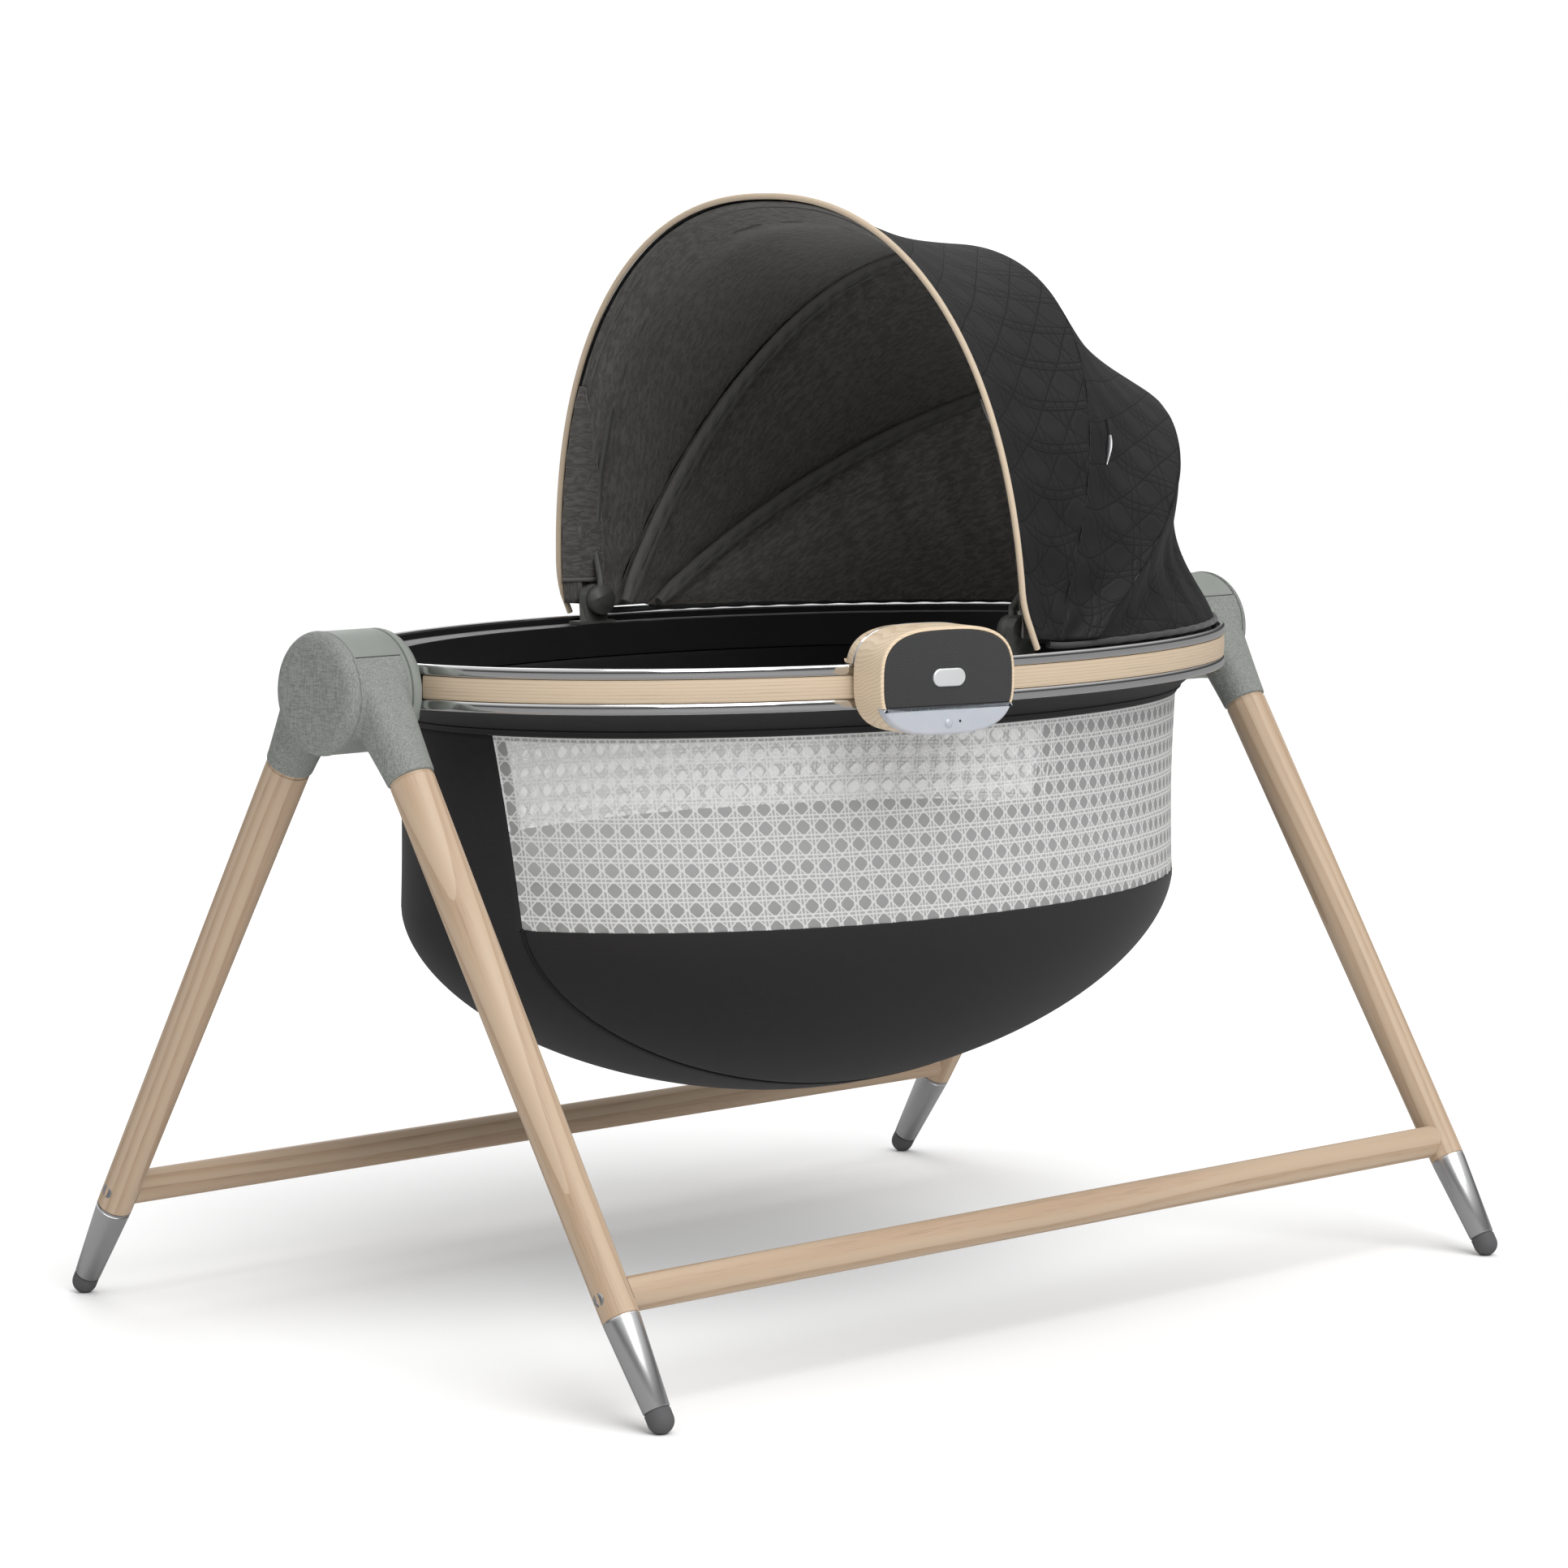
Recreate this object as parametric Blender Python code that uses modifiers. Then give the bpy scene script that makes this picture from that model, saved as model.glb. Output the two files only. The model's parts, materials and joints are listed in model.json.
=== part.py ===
"""Rocking bassinet on an A-frame stand.

A fabric basket hangs from two hubs on one axis along X and rocks between two
pairs of wooden legs.  A folding canopy sits over the head end (+X), and a
control unit with a speaker and a night light is clamped to the front of the rim.
The origin is on the floor, at the middle of the four feet.  Metres, +Z up.
"""
from math import atan2, cos, hypot, pi, radians, sin, sqrt

import bmesh
import bpy
from mathutils import Matrix, Vector

GAP = 0.0003            # clearance between pieces that touch

# Stand
FOOT_X = 0.565          # legs stand in two planes, one at each end
FOOT_Y = 0.415
FOOT_Z = 0.0115         # centre of the rubber dome
LEG_SLOPE = 0.619       # inward travel for each metre of height
LEG_LOW_RADIUS = 0.0172
LEG_TOP_RADIUS = 0.0212
FERRULE_TOP_Z = 0.093
FERRULE_END_Z = 0.0195
FERRULE_TIP_RADIUS = 0.0124
FOOT_RADIUS = 0.0121
SOCKET_END_Z = 0.541
LEG_INSERT = 0.036
RAIL_Z = 0.110
RAIL_HALF_HEIGHT = 0.016
RAIL_HALF_DEPTH = 0.0125
BOLT_RADIUS = 0.003
BOLT_HEAD_RADIUS = 0.0068
BOLT_HEAD_DEPTH = 0.0028
BOLT_LENGTH = 0.045

# Hubs, measured outwards along the rocking axis
AXIS_Z = 0.614
HUB_RADIUS = 0.0566
HUB_WALL = 0.0066
HUB_INNER = 0.536
HUB_OUTER = 0.5965
HUB_BACK = 0.004
COVER_TOP = 0.0115
SOCKET_RADIUS = 0.0230
SOCKET_TOP_Z = 0.602
PARTING_ANGLE = radians(51)
SOCKET_LOW_ANGLE = radians(150)
AXLE_RADIUS = 0.008
BEARING_RADIUS = 0.016
BEARING_LENGTH = 0.011
CAP_INNER = 0.516
HUB_SIDES = 28

# Rim of the basket, all ellipses about the middle
RIM_A = 0.505
RIM_B = 0.333
BAND_THICKNESS = 0.003
BAND_BOTTOM = 0.6055
BAND_TOP = 0.6265
RING_HEIGHT = 0.0102
RING_PROUD = 0.0005
RING_THICKNESS = 0.006
FRAME_A = (0.4990, 0.4600)
FRAME_B = (0.3270, 0.2920)
FRAME_BOTTOM = 0.597
FRAME_TOP = 0.630
BRACKET_HALF_WIDTH = 0.0295
BRACKET_BOTTOM = 0.5825
BRACKET_TOP = 0.6400
RIM_SIDES = 56

# Basket below the rim
WALL_A = 0.445
WALL_B = 0.291
FABRIC = 0.0024
HOOP_Z = 0.390
WINDOW_TOP_Z = 0.570
BOTTOM_Z = 0.1905
HULL_POWER = 1.8
SEAM_TOP_Y = 0.046
SEAM_LOW_Y = 0.080
WIDE_SEAM = 0.59                # angle of an end panel's other seam, which is further round
SIDE_STEPS = 19
END_STEPS = 5
SKIRT_FLARE = 0.094
WINDOW_MARGIN = 0.0012
FRAME_TUBE = 0.0045
HOOP_CLEARANCE = 0.0022
BOARD_INSET = 0.014
PAD_INSET = 0.018
PAD_EDGE_ROUND = 0.009
BOARD_THICKNESS = 0.006
MATTRESS_THICKNESS = 0.038

# Canopy: each arc is half a superellipse that leans about its own root
PIN_Z = 0.655
FRONT_EDGE = dict(root=(-0.022, 0.650), half=0.3266, lean=-0.0573, height=0.4126, power=2.25)
FRONT_BOW = dict(root=(0.010, 0.655), half=0.3085, lean=-0.0300, height=0.3870, power=2.25)
MIDDLE_EDGE = dict(root=(0.033, 0.645), half=0.3120, lean=0.4500, height=0.4120, power=2.08)
MIDDLE_BOW = dict(root=(0.033, 0.645), half=0.2900, lean=0.4500, height=0.4035, power=2.08)
REAR_EDGE = dict(root=(0.081, 0.645), half=0.3150, lean=0.9550, height=0.4100, power=1.90)
REAR_BOW = dict(root=(0.081, 0.645), half=0.2950, lean=0.9550, height=0.4010, power=1.90)
HEM_A = 0.488
HEM_B = 0.312
HEM_Z = 0.6420
HEM_SWEEP = 1.36        # the hem's half angle round the head end, in radians
CLOTH_START_Z = 0.654
PANEL_GAP = 0.0015
REAR_PANEL_GAP = 0.003
FRONT_SAG = 0.005       # how far the cloth draws in between two arcs
MIDDLE_SAG = 0.014
REAR_SAG = 0.034
CANOPY_MIDDLE = Vector((0.06, 0, 0.66))
BOW_RADIUS = 0.0035
BOW_START_Z = 0.667
CANOPY_CLOTH = 0.0020
PIPING_RADIUS = 0.0030
POST_Y = (0.2950, 0.3050)
POST_HALF_WIDTH = 0.014
POST_FLANGE_HALF = 0.024
POST_FLANGE_THICKNESS = 0.003
POST_TOP_RADIUS = 0.0155
PIN_RADIUS = 0.0035
DISC_RADIUS = 0.0150
DISC_THICKNESS = 0.0112

# Control unit, square to the rim at one place on the front side
UNIT_X = -0.152
UNIT_HALF_WIDTH = 0.0732
UNIT_HALF_HEIGHT = 0.0495
UNIT_Z = 0.6225
UNIT_POWER = 3.0
UNIT_BACK = 0.0015
UNIT_FACE = 0.0480
SADDLE_DEPTH = 0.0170
UNIT_WALL = 0.003
GRILLE_THICKNESS = 0.0022
LIGHT_SPLIT_Z = 0.5990
LIGHT_DEPTH = 0.0080
LENS_RADIUS = 0.0062
BADGE_HALF_WIDTH = 0.0185
BADGE_HALF_HEIGHT = 0.0088

COLOURS = {
    "ash_wood": ((0.66, 0.50, 0.36), 0.55, 0.0),
    "polished_metal": ((0.42, 0.42, 0.43), 0.22, 1.0),
    "chrome": ((0.80, 0.80, 0.82), 0.12, 1.0),
    "steel": ((0.55, 0.56, 0.58), 0.30, 1.0),
    "rubber": ((0.16, 0.16, 0.165), 0.80, 0.0),
    "hub_plastic": ((0.24, 0.265, 0.245), 0.70, 0.0),
    "dark_plastic": ((0.045, 0.045, 0.047), 0.55, 0.0),
    "grey_plastic": ((0.13, 0.135, 0.13), 0.55, 0.0),
    "rim_veneer": ((0.68, 0.56, 0.42), 0.50, 0.0),
    "stretch_fabric": ((0.045, 0.042, 0.045), 0.85, 0.0),
    "window_mesh": ((0.72, 0.72, 0.71), 0.80, 0.0),
    "mattress_cover": ((0.78, 0.78, 0.76), 0.90, 0.0),
    "board": ((0.40, 0.33, 0.25), 0.70, 0.0),
    "canopy_cloth": ((0.028, 0.028, 0.030), 0.80, 0.0),
    "piping": ((0.63, 0.53, 0.41), 0.70, 0.0),
    "speaker_cloth": ((0.05, 0.05, 0.053), 0.85, 0.0),
    "badge_metal": ((0.75, 0.76, 0.77), 0.35, 1.0),
    "diffuser": ((0.75, 0.78, 0.85), 0.35, 0.0),
    "clear_lens": ((0.85, 0.86, 0.90), 0.15, 0.0),
}


# ---------------------------------------------------------------- scene helpers
def clear_scene():
    for item in list(bpy.data.objects):
        bpy.data.objects.remove(item, do_unlink=True)


def collection(name):
    made = bpy.data.collections.new(name)
    bpy.context.scene.collection.children.link(made)
    return made


def material(name):
    made = bpy.data.materials.get(name)
    if made:
        return made
    colour, roughness, metallic = COLOURS[name]
    made = bpy.data.materials.new(name)
    made.use_nodes = True
    shader = made.node_tree.nodes["Principled BSDF"]
    shader.inputs["Base Color"].default_value = (*colour, 1.0)
    shader.inputs["Roughness"].default_value = roughness
    shader.inputs["Metallic"].default_value = metallic
    made.diffuse_color = (*colour, 1.0)
    return made


def put(name, data, finish, parent=None, place=Matrix.Identity(4)):
    """Link one finished piece, keeping its place in the world under its parent."""
    piece = bpy.data.objects.new(name, data)
    PARTS.objects.link(piece)
    if finish:
        data.materials.clear()
        data.materials.append(material(finish))
    if parent:
        piece.parent = parent
        piece.matrix_parent_inverse = parent.matrix_world.inverted()
    piece.matrix_world = place
    return piece


def cutter(name, data, place=Matrix.Identity(4)):
    guide = bpy.data.objects.new(name, data)
    CUTTERS.objects.link(guide)
    guide.matrix_world = place
    guide.hide_render = True
    guide.display_type = "WIRE"
    return guide


def combine(piece, tool, operation):
    step = piece.modifiers.new(operation.lower() + "_" + tool.name, "BOOLEAN")
    step.operation = operation
    step.object = tool
    step.solver = "EXACT"


def smooth(data, angle=radians(40)):
    data.shade_smooth()
    data.set_sharp_from_angle(angle=angle)


def evaluated_mesh(piece):
    """A welded mesh copy of a curve or of a piece with modifiers."""
    bpy.context.view_layer.update()
    shown = piece.evaluated_get(bpy.context.evaluated_depsgraph_get())
    data = bpy.data.meshes.new_from_object(shown)
    shape = bmesh.new()
    shape.from_mesh(data)
    bmesh.ops.remove_doubles(shape, verts=shape.verts, dist=0.00001)
    shape.to_mesh(data)
    shape.free()
    return data


# ---------------------------------------------------------------- shape helpers
def rod_mesh(length, radius, tip_radius=None, sides=20):
    """A cylinder or cone that starts at the origin and runs along +Z."""
    shape = bmesh.new()
    tip = radius if tip_radius is None else tip_radius
    bmesh.ops.create_cone(shape, cap_ends=True, segments=sides, radius1=radius,
                          radius2=tip, depth=length)
    bmesh.ops.translate(shape, verts=shape.verts, vec=(0, 0, length / 2))
    data = bpy.data.meshes.new("rod")
    shape.to_mesh(data)
    shape.free()
    smooth(data)
    return data


def box_mesh(low, high):
    shape = bmesh.new()
    bmesh.ops.create_cube(shape, size=1.0)
    low, high = Vector(low), Vector(high)
    bmesh.ops.scale(shape, verts=shape.verts, vec=high - low)
    bmesh.ops.translate(shape, verts=shape.verts, vec=(low + high) / 2)
    data = bpy.data.meshes.new("box")
    shape.to_mesh(data)
    shape.free()
    return data


def along(start, end):
    """The placement that carries +Z at the origin onto the line from start to end."""
    start, end = Vector(start), Vector(end)
    turn = (end - start).to_track_quat("Z", "Y").to_matrix().to_4x4()
    return Matrix.Translation(start) @ turn


def outward(side, height=AXIS_Z):
    """Local +Z points outwards along the rocking axis, at the end given by side."""
    return Matrix.Translation((0, 0, height)) @ Matrix.Rotation(side * pi / 2, 4, "Y")


def turned(name, profile, finish, parent, place, sides=HUB_SIDES):
    """A turned piece: (radius, height) pairs, outer side from top to bottom."""
    data = bpy.data.meshes.new(name)
    points = [(radius, 0, height) for radius, height in profile]
    edges = [(i, i + 1) for i in range(len(points) - 1)]
    if profile[0][0] > 0:
        edges.append((len(points) - 1, 0))
    data.from_pydata(points, edges, [])
    piece = put(name, data, finish, parent, place)
    screw = piece.modifiers.new("turn", "SCREW")
    screw.steps = sides
    screw.render_steps = sides
    screw.use_merge_vertices = True
    screw.merge_threshold = 0.00001
    screw.use_smooth_shade = True
    return piece


def plate_curve(name, outlines, thickness):
    """Closed outlines in the XY plane, filled between them and thickened about Z = 0."""
    data = bpy.data.curves.new(name, "CURVE")
    data.dimensions = "2D"
    data.fill_mode = "BOTH"
    data.extrude = thickness / 2
    for outline in outlines:
        line = data.splines.new("POLY")
        line.points.add(len(outline) - 1)
        for point, (x, y) in zip(line.points, outline):
            point.co = (x, y, 0, 1)
        line.use_cyclic_u = True
    return data


def tube_curve(name, route, radius, closed=False):
    data = bpy.data.curves.new(name, "CURVE")
    data.dimensions = "3D"
    data.bevel_depth = radius
    data.bevel_resolution = 2
    data.use_fill_caps = not closed
    line = data.splines.new("POLY")
    line.points.add(len(route) - 1)
    for point, place in zip(line.points, route):
        point.co = (*place, 1)
    line.use_cyclic_u = closed
    return data


def as_mesh(curve, place=Matrix.Identity(4)):
    """Turn curve data into a welded mesh, with the placement applied."""
    holder = bpy.data.objects.new("temporary_curve", curve)
    CUTTERS.objects.link(holder)
    data = evaluated_mesh(holder)
    data.transform(place)
    bpy.data.objects.remove(holder, do_unlink=True)
    smooth(data)
    return data


def ellipse(half_x, half_y, start=0.0, end=2 * pi, count=RIM_SIDES):
    """Points along an ellipse; a full turn leaves out its repeated last point."""
    steps = count if end - start > 2 * pi - 0.001 else count - 1
    return [(half_x * cos(start + (end - start) * i / steps),
             half_y * sin(start + (end - start) * i / steps)) for i in range(count)]


def elliptic_ring(outer, inner, low, high):
    curve = plate_curve("ring", [ellipse(*outer), ellipse(*inner)], high - low)
    return as_mesh(curve, Matrix.Translation((0, 0, (low + high) / 2)))


def sheet(name, rows, thickness, finish, parent):
    """A cloth shell: a grid of points, thickened inwards with Solidify."""
    width = len(rows[0])
    points = [point for row in rows for point in row]
    faces = []
    for r in range(len(rows) - 1):
        for c in range(width - 1):
            a = r * width + c
            faces.append((a, a + 1, a + width + 1, a + width))
    data = bpy.data.meshes.new(name)
    data.from_pydata(points, [], faces)
    piece = put(name, data, finish, parent)
    thicken = piece.modifiers.new("thickness", "SOLIDIFY")
    thicken.thickness = thickness
    thicken.offset = -1.0
    smooth(data)


# ---------------------------------------------------------------- stand
def leg_point(side, front, height):
    """The point of one leg's centre line at a height; front is -1 or +1 along Y."""
    return Vector((side * FOOT_X, front * (FOOT_Y - LEG_SLOPE * (height - FOOT_Z)), height))


def leg_length(low, high):
    return (high - low) * hypot(1, LEG_SLOPE)


def leg_top():
    return SOCKET_END_Z + LEG_INSERT * cos(atan2(LEG_SLOPE, 1))


def leg_radius(height):
    """A leg tapers evenly from its top end down to the ferrule."""
    share = (height - FERRULE_TOP_Z) / (leg_top() - FERRULE_TOP_Z)
    return LEG_LOW_RADIUS + (LEG_TOP_RADIUS - LEG_LOW_RADIUS) * share


def add_leg(side, front, tag):
    top_z = leg_top()
    base = leg_point(side, front, FERRULE_TOP_Z)
    upward = along(base, leg_point(side, front, top_z))
    leg = put("leg_" + tag, rod_mesh(leg_length(FERRULE_TOP_Z, top_z), LEG_LOW_RADIUS,
                                     LEG_TOP_RADIUS), "ash_wood", place=upward)
    ferrule_low = leg_point(side, front, FERRULE_END_Z)
    ferrule_length = leg_length(FERRULE_END_Z, FERRULE_TOP_Z) - GAP
    put("ferrule_" + tag, rod_mesh(ferrule_length, FERRULE_TIP_RADIUS, LEG_LOW_RADIUS),
        "polished_metal", place=along(ferrule_low, base))
    add_foot(side, front, tag, ferrule_low, base)
    bolt_y = leg_point(side, front, RAIL_Z).y
    head_face = side * (FOOT_X + leg_radius(RAIL_Z))
    inward = along((head_face + side * 0.004, bolt_y, RAIL_Z), (0, bolt_y, RAIL_Z))
    counterbore = rod_mesh(0.004 + BOLT_HEAD_DEPTH + 2 * GAP, BOLT_HEAD_RADIUS + GAP)
    combine(leg, cutter("counterbore_" + tag, counterbore, inward), "DIFFERENCE")
    shank_hole = rod_mesh(0.060, BOLT_RADIUS + GAP, sides=12)
    hole = cutter("bolt_hole_" + tag, shank_hole, inward)
    combine(leg, hole, "DIFFERENCE")
    profile = [(0, BOLT_LENGTH), (BOLT_RADIUS, BOLT_LENGTH), (BOLT_RADIUS, BOLT_HEAD_DEPTH),
               (BOLT_HEAD_RADIUS, BOLT_HEAD_DEPTH), (BOLT_HEAD_RADIUS, 0.0006),
               (BOLT_HEAD_RADIUS - 0.0006, 0), (0.0022, 0), (0.0022, 0.0018), (0, 0.0018)]
    bolt_place = along((head_face - side * 0.0001, bolt_y, RAIL_Z), (0, bolt_y, RAIL_Z))
    turned("rail_bolt_" + tag, profile, "steel", None, bolt_place, sides=12)
    return hole


def add_foot(side, front, tag, ferrule_end, upper):
    """A rubber dome on the leg's line, cut flat where it meets the floor."""
    centre = leg_point(side, front, FOOT_Z)
    axis = (upper - centre).normalized()
    stem = (ferrule_end - centre).length - GAP
    profile = [(0, stem)] + [(FOOT_RADIUS, stem)]
    profile += [(FOOT_RADIUS * cos(a * pi / 10), -FOOT_RADIUS * sin(a * pi / 10)) for a in range(5)]
    profile.append((0, -FOOT_RADIUS))
    foot = turned("foot_" + tag, profile, "rubber", None, along(centre, centre + axis), sides=16)
    floor = box_mesh((centre.x - 0.03, centre.y - 0.03, -0.03), (centre.x + 0.03, centre.y + 0.03, 0))
    combine(foot, cutter("floor_" + tag, floor), "DIFFERENCE")


def add_rail(front, tag, holes):
    """A cross rail of oval section, hollowed at its ends to sit against the legs."""
    data = rod_mesh(2 * FOOT_X, 1.0, sides=24)
    for corner in data.vertices:
        x, y, z = corner.co
        corner.co = (z - FOOT_X, y * RAIL_HALF_DEPTH, x * RAIL_HALF_HEIGHT)
    shape = bmesh.new()
    shape.from_mesh(data)
    bmesh.ops.recalc_face_normals(shape, faces=shape.faces)
    shape.to_mesh(data)
    shape.free()
    middle = Vector((0, leg_point(1, front, RAIL_Z).y, RAIL_Z))
    rail = put("rail_" + tag, data, "ash_wood", place=Matrix.Translation(middle))
    for side in (-1, 1):
        low, high = leg_point(side, front, RAIL_Z - 0.08), leg_point(side, front, RAIL_Z + 0.08)
        cope = rod_mesh((high - low).length, leg_radius(low.z) + GAP, leg_radius(high.z) + GAP,
                        sides=24)
        combine(rail, cutter(f"cope_{tag}_{side}", cope, along(low, high)), "DIFFERENCE")
    for hole in holes:
        combine(rail, hole, "DIFFERENCE")


# ---------------------------------------------------------------- hubs
def wedge(side, low_angle, high_angle, start, end, reach=0.09):
    """A sector about the rocking axis; angles run from straight up towards +Y."""
    steps = 6
    outline = [(0, 0)]
    for i in range(steps + 1):
        a = low_angle + (high_angle - low_angle) * i / steps
        outline.append((reach * sin(a), reach * cos(a)))
    curve = plate_curve("wedge", [outline], end - start)
    turn = Matrix(((0, 0, 1, 0), (1, 0, 0, 0), (0, 1, 0, 0), (0, 0, 0, 1)))
    middle = side * (start + end) / 2
    return as_mesh(curve, Matrix.Translation((middle, 0, AXIS_Z)) @ turn)


def add_hub(side, tag):
    place = outward(side)
    ring = HUB_RADIUS - HUB_WALL
    boss = BEARING_RADIUS + 0.004
    back = HUB_INNER + HUB_BACK
    profile = [(HUB_RADIUS, HUB_OUTER), (HUB_RADIUS, HUB_INNER), (BEARING_RADIUS + GAP, HUB_INNER),
               (BEARING_RADIUS + GAP, HUB_INNER + BEARING_LENGTH + 0.001),
               (boss, HUB_INNER + BEARING_LENGTH + 0.001), (boss, back), (ring, back),
               (ring, HUB_OUTER)]
    housing = turned("hub_housing_" + tag, profile, "hub_plastic", None, place)
    profile = [(BEARING_RADIUS, HUB_INNER + BEARING_LENGTH), (BEARING_RADIUS, HUB_INNER + GAP),
               (AXLE_RADIUS + GAP, HUB_INNER + GAP),
               (AXLE_RADIUS + GAP, HUB_INNER + BEARING_LENGTH)]
    turned("bearing_" + tag, profile, "steel", None, place, sides=24)
    cover_base = HUB_OUTER + GAP
    rim = 0.0135
    profile = [(0, cover_base + COVER_TOP)]
    profile += [(HUB_RADIUS - rim + rim * sin(a * pi / 6),
                 cover_base + COVER_TOP * cos(a * pi / 6)) for a in range(4)]
    profile += [(HUB_RADIUS - 0.003, cover_base), (HUB_RADIUS - rim, cover_base + COVER_TOP - 0.003),
                (0, cover_base + COVER_TOP - 0.003)]
    turned("hub_cover_" + tag, profile, "hub_plastic", None, place)
    for front, name in ((-1, "front"), (1, "rear")):
        low, high = sorted((front * PARTING_ANGLE, front * SOCKET_LOW_ANGLE))
        slack = GAP / HUB_RADIUS
        opening = wedge(side, low - slack, high + slack, back, HUB_OUTER + 0.01)
        combine(housing, cutter(f"socket_opening_{name}_{tag}", opening), "DIFFERENCE")
        add_socket(side, front, f"{name}_{tag}", low, high, ring, back)


def add_socket(side, front, tag, low, high, ring, back):
    """A leg socket: a bored tube joined to its own sector of the hub's band."""
    profile = [(HUB_RADIUS, HUB_OUTER - GAP), (HUB_RADIUS, back + GAP), (ring, back + GAP),
               (ring, HUB_OUTER - GAP)]
    socket = turned("leg_socket_" + tag, profile, "hub_plastic", None, outward(side))
    sector = wedge(side, low, high, back - 0.01, HUB_OUTER + 0.01)
    combine(socket, cutter("sector_" + tag, sector), "INTERSECT")
    end = leg_point(side, front, SOCKET_END_Z)
    tube_top = leg_point(side, front, SOCKET_TOP_Z)
    tube = cutter("socket_tube_" + tag, rod_mesh((tube_top - end).length, SOCKET_RADIUS),
                  along(end, tube_top))
    drum = rod_mesh(0.08, ring, sides=HUB_SIDES)
    hollow = cutter("drum_" + tag, drum, outward(side) @ Matrix.Translation((0, 0, 0.53)))
    combine(tube, hollow, "DIFFERENCE")
    combine(socket, tube, "UNION")
    axis = (tube_top - end).normalized()
    low, high = end - axis * 0.01, end + axis * (LEG_INSERT + 0.002)
    bore = rod_mesh((high - low).length, leg_radius(low.z) + GAP, leg_radius(high.z) + GAP)
    combine(socket, cutter("leg_bore_" + tag, bore, along(low, high)), "DIFFERENCE")


def add_motor():
    """A direct-drive motor in the head-end hub, on the axle's line."""
    start = HUB_INNER + 0.028
    flange = HUB_RADIUS - HUB_WALL - GAP
    profile = [(0, start + 0.026), (0.030, start + 0.026), (0.030, start + 0.003),
               (flange, start + 0.003), (flange, start), (0, start)]
    turned("drive_motor", profile, "steel", None, outward(1))


def add_rotor(side, tag, basket):
    """The rocking cap and axle of one hub, and the bracket that carries the rim."""
    top = HUB_INNER - GAP
    round_depth = top - CAP_INNER
    axle_end = HUB_INNER + 0.0275
    shell = 0.003
    profile = [(0, axle_end), (AXLE_RADIUS, axle_end), (AXLE_RADIUS, CAP_INNER + shell),
               (0.036, CAP_INNER + shell), (HUB_RADIUS - shell - 0.001, top),
               (HUB_RADIUS - 0.0006, top)]
    profile += [(0.038 + (HUB_RADIUS - 0.0006 - 0.038) * cos(a * pi / 6),
                 top - 0.004 - (round_depth - 0.004) * sin(a * pi / 6)) for a in range(4)]
    profile.append((0, CAP_INNER))
    turned("rotor_cap_" + tag, profile, "hub_plastic", basket, outward(side))
    inner = RIM_A + RING_PROUD + GAP
    low = (min(side * inner, side * (CAP_INNER - GAP)), -BRACKET_HALF_WIDTH, BRACKET_BOTTOM)
    high = (max(side * inner, side * (CAP_INNER - GAP)), BRACKET_HALF_WIDTH, BRACKET_TOP)
    put("rim_bracket_" + tag, box_mesh(low, high), "hub_plastic", basket)


# ---------------------------------------------------------------- basket
def add_rim(basket):
    outer = (FRAME_A[0], FRAME_B[0])
    inner = (FRAME_A[1], FRAME_B[1])
    put("rim_frame", elliptic_ring(outer, inner, FRAME_BOTTOM, FRAME_TOP), "dark_plastic", basket)
    ring_outer = (RIM_A + RING_PROUD, RIM_B + RING_PROUD)
    ring_inner = (ring_outer[0] - RING_THICKNESS, ring_outer[1] - RING_THICKNESS)
    for name, low in (("lower", BAND_BOTTOM - GAP - RING_HEIGHT), ("upper", BAND_TOP + GAP)):
        put(f"chrome_ring_{name}", elliptic_ring(ring_outer, ring_inner, low, low + RING_HEIGHT),
            "chrome", basket)
    start = atan2(BRACKET_HALF_WIDTH + 2 * GAP, RIM_B)
    for front, name in ((-1, "front"), (1, "rear")):
        sweep = (start, pi - start) if front > 0 else (pi + start, 2 * pi - start)
        count = RIM_SIDES // 2
        outline = ellipse(RIM_A, RIM_B, *sweep, count)
        outline += reversed(ellipse(RIM_A - BAND_THICKNESS, RIM_B - BAND_THICKNESS, *sweep, count))
        curve = plate_curve("band", [outline], BAND_TOP - BAND_BOTTOM)
        middle = Matrix.Translation((0, 0, (BAND_TOP + BAND_BOTTOM) / 2))
        put("rim_band_" + name, as_mesh(curve, middle), "rim_veneer", basket)


def wall_scale(height):
    """How far the fabric wall stands out at a height, against its width at the hoop."""
    if height >= WINDOW_TOP_Z:
        rise = (height - WINDOW_TOP_Z) / (FRAME_BOTTOM - FABRIC - WINDOW_TOP_Z)
        return 1.006 + SKIRT_FLARE * rise ** 1.6
    if height >= HOOP_Z:
        return 1.0 + 0.006 * (height - HOOP_Z) / (WINDOW_TOP_Z - HOOP_Z)
    depth = (HOOP_Z - height) / (HOOP_Z - BOTTOM_Z)
    return (1 - depth ** HULL_POWER) ** (1 / HULL_POWER)


def seam_angle(height):
    """Where the end panel meets the side panel, as an angle of the ellipse."""
    share = (WINDOW_TOP_Z - height) / (WINDOW_TOP_Z - HOOP_Z)
    return (SEAM_TOP_Y + (SEAM_LOW_Y - SEAM_TOP_Y) * max(0.0, share)) / WALL_B


def wall_point(angle, height, inset=0.0):
    scale = wall_scale(height)
    return ((WALL_A * scale - inset) * cos(angle), (WALL_B * scale - inset) * sin(angle), height)


def panel_angles(height):
    """Angles once round the basket, with a column on each of the four seams."""
    seam = seam_angle(max(height, HOOP_Z))
    marks = [(-WIDE_SEAM, seam, END_STEPS), (seam, pi - WIDE_SEAM, SIDE_STEPS),
             (pi - WIDE_SEAM, pi + seam, END_STEPS), (pi + seam, 2 * pi - WIDE_SEAM, SIDE_STEPS)]
    return [a + (b - a) * i / n for a, b, n in marks for i in range(n)]


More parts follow.
